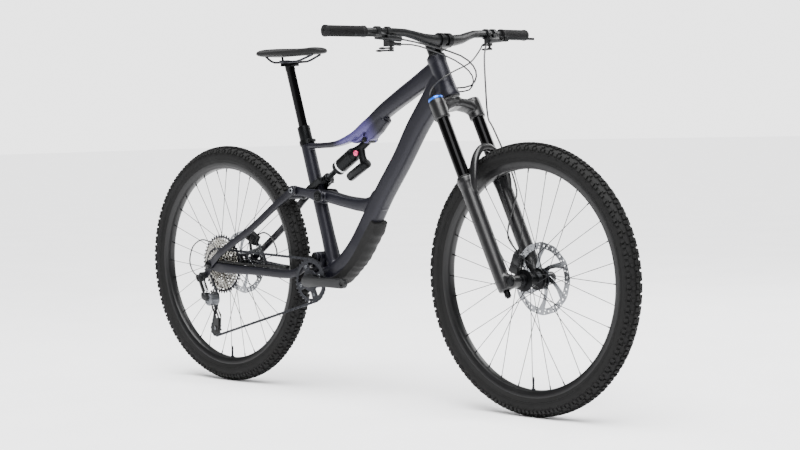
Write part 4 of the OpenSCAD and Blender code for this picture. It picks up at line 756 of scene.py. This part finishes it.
def guard():
    """Ribbed rubber guard under the down tube."""
    s = Shape()
    line = [at(46, 0, 520), at(10, 0, 474), at(-30, 0, 422), at(-62, 0, 392), at(-104, 0, 358),
            at(-140, 0, 342)]
    path = curve_through(line, 8)
    rings = []
    for i, p in enumerate(path):
        along = (path[min(i + 1, len(path) - 1)] - path[max(i - 1, 0)]).normalized()
        below = ACROSS.cross(along).normalized()
        if below.z > 0:
            below = -below
        rib = 1.2 if i % 4 < 2 else 0.0
        ends = min(1.0, 0.35 + min(i, len(path) - 1 - i) / 5)
        rings.append([p + below * (16.6 + rib * ends) * (q if q < 0.6 else 0.6 + (q - 0.6) * ends)
                      + ACROSS * w for w, q in
                      ((-30, -0.1), (-31, 0.5), (-26, 1.25), (-14, 1.55), (0, 1.6), (14, 1.55),
                       (26, 1.25), (31, 0.5), (30, -0.1), (0, 0.2))])
    s.skin(rings)
    piece("down tube guard", s, "frame", ["downtube_guard"], [GUARD])


def cable_ports():
    """Oval grommets where the cables enter the frame."""
    s = Shape()
    for s_up, fore, side in ((46, -16, 26.6), (40, -30, -26.2)):
        p = on_steer(HEAD_LOW + s_up, fore)
        ring = facing(p + at(0, side, 0), STEER_UP, ACROSS)
        plate(s, [rounded(24, 11, 5.2)], 2.4, ring, 0.8)
    piece("cable grommets", s, "frame", None, [GUARD])


def chainstays():
    s = Shape()
    for side in (-1, 1):
        line = [MAIN + at(-4, side * 31, -5), MAIN + at(-40, side * 33, -22),
                REAR + at(345, side * 42, -18), REAR + at(200, side * 57, -14),
                REAR + at(90, side * 74, -9), REAR + at(36, side * 77, -6), REAR + at(2, side * 77.5, 0)]
        tube(s, curve_through(line), blended([(6, 13), (7, 12.5), (8, 13), (9, 13), (6, 15), (3.8, 17),
                                              (3.6, 15)], 6), 24, 3.2, across=ACROSS)
        turned(s, MAIN + at(0, side * 31.2, 0), ACROSS, disc(15.5, 6.6, 1.5, 1), 40)
        turned(s, REAR + at(0, side * 77.5, 0), ACROSS, disc(17, 3.5, 1, 0.7), 40)
    tube(s, [MAIN + at(-37, -34, -24), MAIN + at(-40, 0, -26), MAIN + at(-37, 34, -24)], 10, 24)
    # derailleur hanger, and the two posts of the brake mount
    tube(s, [REAR + at(-4, -77.6, -6), REAR + at(-20, -77.6, -26), REAR + at(-30, -77.6, -40)],
         [(3.4, 15), (3.4, 12), (3.4, 9)], 20, 3.0, across=ACROSS)
    for low, high in (((16, 77.5, 6), (20, 66, 84)), ((92, 72, 0), (68, 66, 58))):
        rod(s, REAR + at(*low), REAR + at(*high), 5)
    m = moulded("chainstays", s, 1.6, 4, [PAINT_DARK])
    piece("chainstays", m, "swingarm", ["chainstays"], [PAINT_DARK])


def seatstays():
    s = Shape()
    for side in (-1, 1):
        line = [REAR + at(2, side * 85, 1), REAR + at(26, side * 85.2, 17), REAR + at(72, side * 84, 48),
                REAR + at(190, side * 67, 118), STAY_EYE + at(-70, side * 50, -46),
                STAY_EYE + at(-26, side * 43.5, -17), STAY_EYE + at(-6, side * 42, -3)]
        tube(s, curve_through(line), blended([(3.2, 13), (3.4, 12), (5, 11), (6, 11), (6.4, 11.5),
                                              (5.2, 12.5), (4.6, 13)], 6), 24, 3.2, across=ACROSS)
        turned(s, REAR + at(0, side * 84.9, 0), ACROSS, disc(14, 3.4, 1, 0.8), 40)
        turned(s, STAY_EYE + at(0, side * 41.5, 0), ACROSS, disc(15, 4.8, 1, 0.8), 40)
    tube(s, [STAY_EYE + at(-36, -40, -24), STAY_EYE + at(-38, -20, -22), STAY_EYE + at(-38, 20, -22),
             STAY_EYE + at(-36, 40, -24)], 7, 24)
    m = moulded("seatstays", s, 1.6, 4, [PAINT_DARK])
    piece("seatstays", m, "seatstay", ["seatstays"], [PAINT_DARK])


def chainstay_guard():
    """Ribbed rubber on top of the right chainstay, under the chain."""
    s = Shape()
    path = curve_through([REAR + at(330, -44, 2), REAR + at(200, -58, 4), REAR + at(100, -72, 9),
                          REAR + at(44, -77, 13)], 26)
    rib, valley = (8.6, 3.4), (7.0, 2.4)
    tube(s, path, [rib if i % 4 < 2 else valley for i in range(len(path))], 16, 3.0, across=ACROSS)
    piece("chainstay guard", s, "swingarm", None, [GUARD])


PLATE_Y = 31.5    # middle of a rocker plate


def rocker():
    """Two plates beside the seat tube, with their bolts."""
    s = Shape()
    for side in (-1, 1):
        a, b = ROCKER + side * PLATE_Y * ACROSS, STAY_EYE + side * PLATE_Y * ACROSS
        tube(s, curve_through([a, (a + b) / 2 + at(0, 0, 1), b], 6),
             blended([(4.4, 19), (4.4, 13.5), (4.4, 14.5)], 6), 24, 3.4, across=ACROSS)
        turned(s, a, ACROSS, disc(19.4, 4.5), 48)
        turned(s, b, ACROSS, disc(15, 4.5), 48)
    m = moulded("rocker", s, 1.2, 3, [PAINT])
    piece("rocker link", m, "rocker", ["rocker_link"], [PAINT])
    s = Shape()
    for side in (-1, 1):
        out = side * ACROSS
        turned(s, ROCKER + 35.6 * out, out, [(16.5, 0), (16.5, 1.0), (15.5, 1.8), (11.5, 1.8),
                                            (11, 0.9), (10, 0.9), (9.6, 2.2), (5, 2.2), (4.4, 0.4),
                                            (0.1, 0.4)], 48)
        rod(s, STAY_EYE + 36.2 * out, STAY_EYE + 47 * out, 4.9)
        bolt(s, STAY_EYE + 47 * out, out, 8.5, 3.2, 1)
        rod(s, YOKE + 22 * out, YOKE + 27.4 * out, 5)
    piece("rocker bolts", s, "rocker", None, [ANODISED, GREY_ALLOY])


# ---- fork ----
LEG_Y = 70


def on_leg(side, up, fore=7):
    """A point of a fork leg: the legs stand beside the steering axis and just ahead of it."""
    return on_steer(up, fore, side * LEG_Y)


def fork_lowers():
    s = Shape()
    for side in (-1, 1):
        turned(s, on_leg(side, -12), STEER_UP, [(17, 0), (20, 3), (21.4, 24), (21.6, 150), (22, 300),
                                                (23.4, 318), (24.2, 322), (24.2, 335), (22.6, 336.6)], 56)
        foot = [on_leg(side, 20, 8), on_steer(6, 28, side * 68), on_steer(0, 46, side * 66)]
        tube(s, curve_through(foot, 5), blended([(15, 22), (13, 21), (11.5, 17)], 5), 28, 2.6,
             across=ACROSS)
        turned(s, on_steer(0, 44, side * 69.5), ACROSS, disc(17.4, 14, 1.4, 1.4), 48)
        # half of the arch over the tyre
        arch = [on_leg(side, 262, 12), on_steer(312, 32, side * 66), on_steer(362, 47, side * 48),
                on_steer(388, 54, side * 22), on_steer(394, 56, 0)]
        tube(s, curve_through(arch), blended([(13, 9), (15, 8.5), (13, 9), (11, 10), (10, 11)], 6),
             28, 2.4, across=STEER_FORE)
    for up in (104, 40):    # brake mount
        rod(s, on_steer(up, 0, 62), on_steer(up - 2, -22, 48), 7)
    m = moulded("fork lowers", s, 2.0, 4, [FORK_BLACK])
    piece("fork lowers", m, "fork_lower", ["fork_lowers"], [FORK_BLACK])
    s = Shape()
    for side in (-1, 1):
        turned(s, on_leg(side, LOWER_TOP + 1.5), STEER_UP, [(18.15, 0), (21.4, 0), (21.4, 2.6), (20.2, 3.6),
                                                            (18.15, 3.6)], 56, closed=True)
    piece("fork wiper seals", s, "fork_lower", None, [NYLON])


def stanchions():
    s = Shape()
    for side in (-1, 1):
        rod(s, on_leg(side, LOWER_TOP - 144), on_leg(side, RACE - 12), 17.9, sides=56)
    piece("fork stanchions", s, "steering", ["fork_stanchions"], [STANCHION])


def fork_crown():
    s = Shape()
    for side in (-1, 1):
        turned(s, on_leg(side, RACE - 62), STEER_UP, [(21, 0), (22.8, 2), (22.8, 46), (21.6, 57),
                                                      (19, 60)], 48)
        shoulder = [on_leg(side, RACE - 34), on_steer(RACE - 22, 6, side * 44), on_steer(RACE - 13, 2, 0)]
        tube(s, curve_through(shoulder), blended([(20, 22), (22, 16), (24, 12)], 6), 28, 2.8,
             across=STEER_FORE)
    turned(s, on_steer(RACE - 28), STEER_UP, [(20, 0), (25, 5), (27, 24), (26.6, 27.4)], 48)
    m = moulded("fork crown", s, 2.0, 4, [FORK_BLACK])
    piece("fork crown", m, "steering", ["fork_crown"], [FORK_BLACK])


# ---- shock ----
def on_shock(along, below=0):
    """A point of the shock, by its distance from the front eye and below the shock's axis."""
    return SHOCK - SHOCK_DIR * along + below * at(SHOCK_DIR.z, 0, -SHOCK_DIR.x)


def shock():
    s = Shape()
    axis = -SHOCK_DIR
    turned(s, SHOCK, ACROSS, [(4.1, -12.2), (10.6, -12.2), (11.4, -11.4), (11.4, 11.4), (10.6, 12.2),
                              (4.1, 12.2)], 40, closed=True)
    turned(s, on_shock(8), axis, [(10, 0), (11, 3), (12.5, 40), (16, 62), (18.5, 70), (20.8, 73),
                                  (21, 77)], 56)
    # air can
    turned(s, on_shock(85), axis, [(19, 0), (21.8, 1), (21.8, 12), (21.2, 12.6), (21.2, 14.4), (21.8, 15),
                                   (21.8, 70), (21.0, 71), (21.0, 74), (21.8, 75), (21.8, 80), (18, 82),
                                   (8.2, 82), (8.2, 28)], 64)
    # bridge to the reservoir, and the reservoir
    tube(s, [on_shock(50, 6), on_shock(56, 26), on_shock(60, 50)], [(12, 11), (11, 11), (13, 11)], 28, 2.6)
    near, far = on_shock(46, 52), on_shock(136, 48)
    turned(s, near, far - near,
           [(8, -1), (13, 0), (14.2, 2), (14.2, 16), (13.4, 17), (13.4, 20), (14.2, 21), (14.2, 84),
            (13.6, 85), (13.6, 87), (12.8, 89), (6, 90)], 56)
    piece("shock body", s, "shock_body", ["shock_body"], [ANODISED])
    s = Shape()
    turned(s, on_shock(212.4), axis, [(8.2, 0), (14.4, 1), (14.8, 3), (14.8, 8), (14.3, 9), (14.3, 10.5),
                                      (14.8, 11.5), (14.8, 20), (13, 22)], 48)
    piece("shock collar", s, "shock_shaft", None, [ANODISED])
    s = Shape()
    turned(s, on_shock(146), axis, [(21.9, 0), (22.2, 0.4), (22.2, 5.4), (21.9, 5.8)], 56, closed=True)
    piece("travel band", s, "shock_body", None, [WHITE])


# ---- drivetrain ----
def teeth_outline(count, pitch_r, tooth=3.6, sharp=0.30):
    """Outline of a sprocket round its own centre, with rounded valleys."""
    out = []
    for k in range(count):
        a = 2 * pi * k / count
        step = 2 * pi / count
        for part, dr in ((-0.5, -3.6), (-0.36, -3.3), (-0.24, -1.4), (-sharp / 2 - 0.02, tooth - 1.8),
                         (-0.05, tooth), (0.05, tooth), (sharp / 2 + 0.02, tooth - 1.8), (0.24, -1.4),
                         (0.36, -3.3)):
            b = a + part * step
            out.append(((pitch_r + dr) * sin(b), (pitch_r + dr) * cos(b)))
    return out


def pitch_radius(teeth):
    return 12.7 / (2 * sin(pi / teeth))


COGS = [10, 12, 14, 16, 18, 21, 24, 28, 32, 36, 40, 45]


def cassette():
    s = Shape()
    for i, teeth in enumerate(COGS):
        y = CHAIN_Y - (6 - i) * 3.7
        r = pitch_radius(teeth)
        outlines = [teeth_outline(teeth, r, 3.2)]
        if r - 9 > 36:    # windows between the six arms of a big sprocket
            for k in range(6):
                a0 = pi / 3 * k + i * 0.12
                w = pi / 3 * 0.38
                hole = [(r - 9, a0 + w * q / 4) for q in range(-4, 5)]
                hole += [(30, a0 + w * q / 4 + 0.12) for q in range(4, -5, -1)]
                outlines.append([(q * sin(b), q * cos(b)) for q, b in hole])
        outlines.append(circle(0, 0, 17.5 if teeth > 10 else 13.5, 32))
        plate(s, outlines, 1.8, side_view(y, REAR), 0.3, 1 if teeth == 45 else 0)
    turned(s, REAR, ACROSS, [(13, -74.5), (17.4, -73.8), (18.6, -72), (24, CHAIN_Y + 16),
                             (24, CHAIN_Y + 20), (13, CHAIN_Y + 20)], 48, closed=True)
    piece("cassette", s, "cassette", ["cassette"], [NICKEL, DARK_STEEL])


def chainring():
    s = Shape()
    r = pitch_radius(32)
    outlines = [teeth_outline(32, r, 3.4)]
    for k in range(4):
        a0 = 2 * pi * k / 4 + 0.4
        hole = [(r - 11, a0 + 0.55 * q / 5) for q in range(-5, 6)]
        hole += [(33, a0 + 0.42 * q / 5) for q in range(5, -6, -1)]
        outlines.append([(q * sin(b), q * cos(b)) for q, b in hole])
    outlines.append(circle(0, 0, 17, 40))
    plate(s, outlines, 3.4, side_view(CHAIN_Y, BB), 0.6)
    for k in range(4):
        a = 2 * pi * k / 4 + 0.4 + pi / 4
        p = BB + at(44 * sin(a), CHAIN_Y - 1.7, 44 * cos(a))
        bolt(s, p, -ACROSS, 5, 2.0, 1)
    turned(s, BB + at(0, CHAIN_Y, 0), ACROSS, [(17, -4), (30, -3), (30, 3), (17, 4)], 48, closed=True)
    piece("chainring", s, "crank", ["chainring"], [DARK_STEEL, GREY_ALLOY])


def wrap(wheels):
    """Closed path of a chain round wheels given as (centre, radius, +1 clockwise or -1)."""
    legs = []
    for i, (c, r, way) in enumerate(wheels):
        c2, r2, way2 = wheels[(i + 1) % len(wheels)]
        d = c2 - c
        turn = math.atan2(d.z, d.x) + math.asin((r2 * way2 - r * way) / d.length)
        left = at(-sin(turn), 0, cos(turn))
        legs.append((c + left * r * way, c2 + left * r2 * way2))
    path = []
    for i, (c, r, way) in enumerate(wheels):
        come, go = legs[i - 1][1] - c, legs[i][0] - c
        a, b = math.atan2(come.z, come.x), math.atan2(go.z, go.x)
        sweep = ((a - b) if way > 0 else (b - a)) % (2 * pi)
        steps = max(3, int(sweep * r / 3))
        for k in range(steps + 1):
            q = a - way * sweep * k / steps
            path.append(c + at(r * cos(q), 0, r * sin(q)))
        n = int((legs[i][1] - legs[i][0]).length / 6)
        path += [legs[i][0].lerp(legs[i][1], k / n) for k in range(1, n)]
    return path


CAGE_PIVOT = REAR + at(0, 0, -110)
GUIDE, TENSION = CAGE_PIVOT + at(-24, 0, 4), CAGE_PIVOT + at(-14, 0, -94)


def chain():
    row = CHAIN_Y * ACROSS
    path = wrap([(REAR + row, pitch_radius(24), 1), (BB + row, pitch_radius(32), 1),
                 (TENSION + row, pitch_radius(11), 1), (GUIDE + row, pitch_radius(11), -1)])
    length = sum((path[i] - path[i - 1]).length for i in range(len(path)))
    outer, inner = Shape(), Shape()
    outline = []
    for k in range(7):
        t = radians(-90 + 180 * k / 6)
        outline.append((6.35 + 4.0 * cos(t), 4.0 * sin(t)))
    outline.append((0, 3.1))
    for k in range(7):
        t = radians(90 + 180 * k / 6)
        outline.append((-6.35 + 4.0 * cos(t), 4.0 * sin(t)))
    outline.append((0, -3.1))
    for s, gap in ((outer, 2.45), (inner, 1.5)):
        for side in (-1, 1):
            plate(s, [outline], 0.9, side_view(side * gap), 0.12)
    for x in (-6.35, 6.35):
        rod(inner, at(x, -1.4, 0), at(x, 1.4, 0), 3.8, sides=12, edge=0.1)
        rod(outer, at(x, -3.2, 0), at(x, 3.2, 0), 1.8, sides=10, edge=0.2)
    count = int(round(length / 12.7 / 2) * 2)
    m = repeated("chain", ALONG_PATH, [outer, inner], count, DARK_STEEL, path=path)
    piece("chain", m, "swingarm", ["chain"], [DARK_STEEL])


def pulleys():
    for centre, body in ((GUIDE, "guide_pulley"), (TENSION, "tension_pulley")):
        s = Shape()
        holes = [circle(10.5 * sin(2 * pi * k / 5), 10.5 * cos(2 * pi * k / 5), 2.6, 12) for k in range(5)]
        plate(s, [teeth_outline(11, pitch_radius(11), 3.2)] + holes + [circle(0, 0, 2.6, 16)], 2.2,
              side_view(CHAIN_Y, centre), 0.3)
        turned(s, centre, ACROSS, [(2.6, CHAIN_Y - 4), (6.6, CHAIN_Y - 4), (7, CHAIN_Y - 3.4),
                                   (7, CHAIN_Y + 3.4), (6.6, CHAIN_Y + 4), (2.6, CHAIN_Y + 4)], 32,
               closed=True)
        piece(body.replace("_", " "), s, body, [body], [NYLON])


def ring_window(centre, inner, outer, turn, spread=32):
    """Window between two spokes of a cage plate, round a wheel's centre."""
    arc = [radians(turn + spread * k / 2) for k in (-2, -1, 0, 1, 2)]
    return [(centre.x + r * cos(t), centre.z + r * sin(t))
            for r, side in ((outer, arc), (inner, arc[::-1])) for t in side]


def cage():
    s = Shape()
    guide_r, tension_r, waist = 11.5, 15, (8, 7.5)
    upper = (GUIDE.x + 3, GUIDE.z - 34)
    lower = (TENSION.x + 11, TENSION.z + 44)
    outline = [(GUIDE.x + guide_r * cos(pi * k / 6), GUIDE.z + guide_r * sin(pi * k / 6)) for k in range(7)]
    outline += [(upper[0] - waist[0], upper[1]), (lower[0] - waist[1], lower[1])]
    outline += [(TENSION.x + tension_r * cos(radians(170 + 25 * k)),
                 TENSION.z + tension_r * sin(radians(170 + 25 * k))) for k in range(9)]
    outline += [(lower[0] + waist[1], lower[1]), (upper[0] + waist[0], upper[1])]
    windows = [[(upper[0] - 4.5, upper[1] + 12), (upper[0] + 4.5, upper[1] + 14),
                (lower[0] + 4.2, lower[1] - 12), (lower[0] - 3.8, lower[1] - 10)]]
    windows += [ring_window(TENSION, 6.4, 12, turn) for turn in (45, 135, 225, 315)]
    for y, out in ((CHAIN_Y - 5.6, -ACROSS), (CHAIN_Y + 5.2, ACROSS)):
        plate(s, [outline[::-1]] + windows, 1.8, side_view(y), 0.3)
        for wheel in (GUIDE, TENSION):
            p = wheel + y * ACROSS
            turned(s, p, out, [(5.8, -0.6), (4, 0.9), (0.1, 0.9)], 24)
            bolt(s, p + out * 0.9, out, 4.2, 1.4, 1)
            rod(s, p, wheel + CHAIN_Y * ACROSS + 4 * out, 3.2)
    plate_y = (CHAIN_Y - 5.6) * ACROSS    # link from the outer plate to the cage pivot
    tube(s, [GUIDE + plate_y, (GUIDE + CAGE_PIVOT) / 2 + plate_y + at(0, 0, 5), CAGE_PIVOT + plate_y],
         [(0.9, 10), (0.9, 12), (0.9, 13)], 16, 3.0, across=ACROSS)
    piece("derailleur cage", s, "derailleur_cage", ["derailleur_cage"], [NYLON, GREY_ALLOY])


def derailleur_knuckle():
    s = Shape()
    turned(s, CAGE_PIVOT, -ACROSS, [(17.4, 59.8), (18.6, 61), (19, 66), (19, 88), (18, 92), (15.5, 94),
                                    (12, 94.2), (11.4, 93), (4, 93), (3.4, 91), (0.1, 91)], 64, 1)
    arm = [REAR + at(-10, -94, -88), REAR + at(-8, -95, -98), CAGE_PIVOT + at(-4, -90, 6)]
    tube(s, curve_through(arm, 4), blended([(15, 9), (15, 12), (9, 12)], 4), 24, 3.0, across=ACROSS)
    piece("derailleur knuckle", s, "derailleur_knuckle", ["derailleur_knuckle"],
          [CAST_BLACK, GREY_ALLOY])


# ---- cockpit ----
def grips():
    s = Shape()
    for side in (-1, 1):
        start = on_bar(132, side)
        # inner clamp, 32 ribs, flared end and its plug
        profile = [(11.15, 0), (15.6, 0), (16.2, 1), (16.2, 9), (15.6, 10)]
        for k in range(32):
            d = 12 + k * 3.4
            profile += [(14.2, d), (15.4, d + 0.7), (15.4, d + 2.2), (14.2, d + 2.9)]
        profile += [(14.2, 122), (16.2, 123), (16.6, 128), (16.2, 131.5), (14, 132.5), (6, 133), (5, 132)]
        turned(s, start, on_bar(0, side) - on_bar(10, side), profile, 48)
    piece("grips", s, "steering", ["grips"], [GRIP_RUBBER])


# ---- seat ----
def saddle():
    lo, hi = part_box("saddle")
    lo, hi = lo / MM, hi / MM
    length, nose, tail = hi.x - lo.x, 20, (hi.y - lo.y) / 2 - 0.5
    s = Shape()
    rings = []
    steps = 34
    for i in range(steps + 1):
        t = i / steps    # from the nose to the tail
        end = 1.0
        if t < 0.09:
            end = sqrt(max(0.0, 1 - ((0.09 - t) / 0.09) ** 2))
        elif t > 0.91:
            end = sqrt(max(0.0, 1 - ((t - 0.91) / 0.092) ** 2))
        w = min(nose + (tail - nose) * max(0, (t - 0.34) / 0.56) ** 1.35, tail) * max(end, 0.04)
        top = hi.z - 1 - 9 * max(0, 1 - t / 0.26) ** 2 - 2.5 * sin(pi * min(1, t / 0.8)) ** 2
        foot = lo.z + 1.2 + 3 * max(0, 1 - t / 0.3)
        middle, half = (top + foot) / 2, (top - foot) / 2 * max(end, 0.25)
        ring = []
        for k in range(28):
            c, u = cos(2 * pi * k / 28), sin(2 * pi * k / 28)
            y = w * math.copysign(abs(c) ** 0.6, c)
            z = middle + half * math.copysign(abs(u) ** 0.6, u)
            if u > 0:    # the top falls away at the sides, and has a relief channel along it
                z -= 4.5 * (abs(y) / tail) ** 2 + 2.2 * math.exp(-(y / 9) ** 2) * (0.25 < t < 0.9)
            ring.append(at(hi.x - 1 - (length - 2) * t, y, z))
        rings.append(ring)
    s.skin(rings)
    o = piece("saddle", s, "seat", ["saddle"], [SADDLE_COVER], sharp=70)
    sub = o.modifiers.new("Round", "SUBSURF")
    sub.levels = sub.render_levels = 1


# ---- whole bike ----
for side_name, centre in (("front", FRONT), ("rear", REAR)):
    wheel = side_name + "_wheel"
    tyre(side_name + " tyre", centre, wheel, side_name + "_tyre")
    rim(side_name + " rim", centre, wheel, side_name + "_rim")
    front = side_name == "front"
    flanges = ((-30, 27), (24, 27)) if front else ((-20, 27), (32, 27))
    spokes(side_name + " spokes", centre, wheel, side_name + "_spokes", flanges)
    hub(side_name + " hub", centre, wheel, side_name + "_hub", 54.6 if front else 46, flanges,
        17 if front else 19)
    rotor(side_name + " rotor", centre, wheel, side_name + "_rotor", 43 if front else 57)
frame_skin()
guard()
cable_ports()
chainstays()
seatstays()
chainstay_guard()
rocker()
fork_lowers()
stanchions()
fork_crown()
shock()
cassette()
chainring()
chain()
pulleys()
cage()
derailleur_knuckle()
grips()
saddle()

# pieces whose real shape is the CAD's own
for names, finish_used, slot, edge in (
        ("front_axle rear_axle", ANODISED, "anodised_black", 0),
        ("shock_shaft", ANODISED, None, 0),
        ("shock_knob", PINK, None, 0),
        ("crank_arms", CAST_BLACK, "anodised_black", 2.0),
        ("derailleur_base", CAST_BLACK, "anodised_black", 0.8),
        ("derailleur_outer_link", CAST_BLACK, "anodised_black", 0.5),
        ("derailleur_inner_link", SILVER, None, 0.5),
        ("stem", ANODISED, "anodised_black", 1.2),
        ("brake_lever_bodies", CAST_BLACK, "anodised_black", 0.8),
        ("remote_bodies", NYLON, None, 1.5),
        ("brake_lever_right brake_lever_left", CAST_BLACK, None, 0.6),
        ("shift_paddle release_paddle dropper_paddle", NYLON, None, 0.8),
        ("damper_dial", BLUE, None, 0.6),
        ("rebound_knob", ANODISED, None, 0.6),
        ("front_caliper rear_caliper", CAST_BLACK, "anodised_black", 1.6),
        ("dropper_outer seat_clamp", ANODISED, None, 0.5),
        ("dropper_post", STANCHION, None, 0.5),
        ("frame_bearings frame_pivots", ANODISED, None, 0)):
    from_cad(names, finish_used, bevel=edge)
from_cad("handlebar", SATIN_BLACK, sharp=60)
from_cad("control_cables rear_cables", HOSE, sharp=60)
from_cad("saddle_rails", DARK_STEEL, sharp=50)


# ---- floor, light and camera ----
def studio():
    floor_paint = finish("pale studio floor", "#F4F4F5", "#F8F8F9", 400, (0.6, 0.7))
    m = bpy.data.meshes.new("floor")
    w = 60.0
    m.from_pydata([(-w, -w, 0), (w, -w, 0), (w, w, 0), (-w, w, 0)], [], [(0, 1, 2, 3)])
    m.materials.append(floor_paint)
    floor = bpy.data.objects.new("floor", m)
    bpy.context.collection.objects.link(floor)
    world = bpy.data.worlds.new("soft white room")
    world.use_nodes = True
    t = world.node_tree
    backdrop = t.nodes["Background"]
    backdrop.inputs["Color"].default_value = (1, 1, 1, 1)
    # a bright backdrop behind a dimmer room
    seen = node(t, "ShaderNodeLightPath").outputs["Is Camera Ray"]
    level = node(t, "ShaderNodeMapRange", {"To Min": 0.34, "To Max": 3.1}, {"Value": seen})
    t.links.new(level.outputs[0], backdrop.inputs["Strength"])
    bpy.context.scene.world = world
    sun = bpy.data.lights.new("ceiling", "SUN")
    sun.energy, sun.angle = 9.5, radians(60)
    ceiling = bpy.data.objects.new("ceiling", sun)
    ceiling.rotation_euler = (radians(14), radians(12), 0)
    bpy.context.collection.objects.link(ceiling)
    for name, place, power, wide in (("key", (2.6, -2.2, 3.4), 150, 2.4),
                                     ("left", (0.5, 3.6, 2.6), 90, 2.0),
                                     ("top", (-1.2, -0.6, 3.8), 90, 2.6)):
        lamp = bpy.data.lights.new(name, "AREA")
        lamp.energy, lamp.size = power, wide
        o = bpy.data.objects.new(name, lamp)
        o.location = place
        aim = Vector((0, 0, 0.5)) - Vector(place)
        o.rotation_euler = aim.to_track_quat("-Z", "Y").to_euler()
        bpy.context.collection.objects.link(o)


def camera():
    """Long lens at hub height, ahead of the bike's right side, with a slight roll."""
    azimuth, elevation, roll = radians(45.77), radians(2.97), radians(-1.32)
    aim, distance = Vector((0.1365, 0, 0.5094)), 5.561
    back = Vector((sin(azimuth) * cos(elevation), -cos(azimuth) * cos(elevation), sin(elevation)))
    x = UP.cross(back).normalized()
    y = back.cross(x)
    right = x * cos(roll) + y * sin(roll)
    above = y * cos(roll) - x * sin(roll)
    lens = bpy.data.cameras.new("studio camera")
    lens.lens, lens.sensor_width = 86.85, 36
    eye = bpy.data.objects.new("studio camera", lens)
    m = Matrix((right, above, back)).transposed().to_4x4()
    m.translation = aim + back * distance
    eye.matrix_world = m
    bpy.context.collection.objects.link(eye)
    bpy.context.scene.camera = eye


studio()
camera()
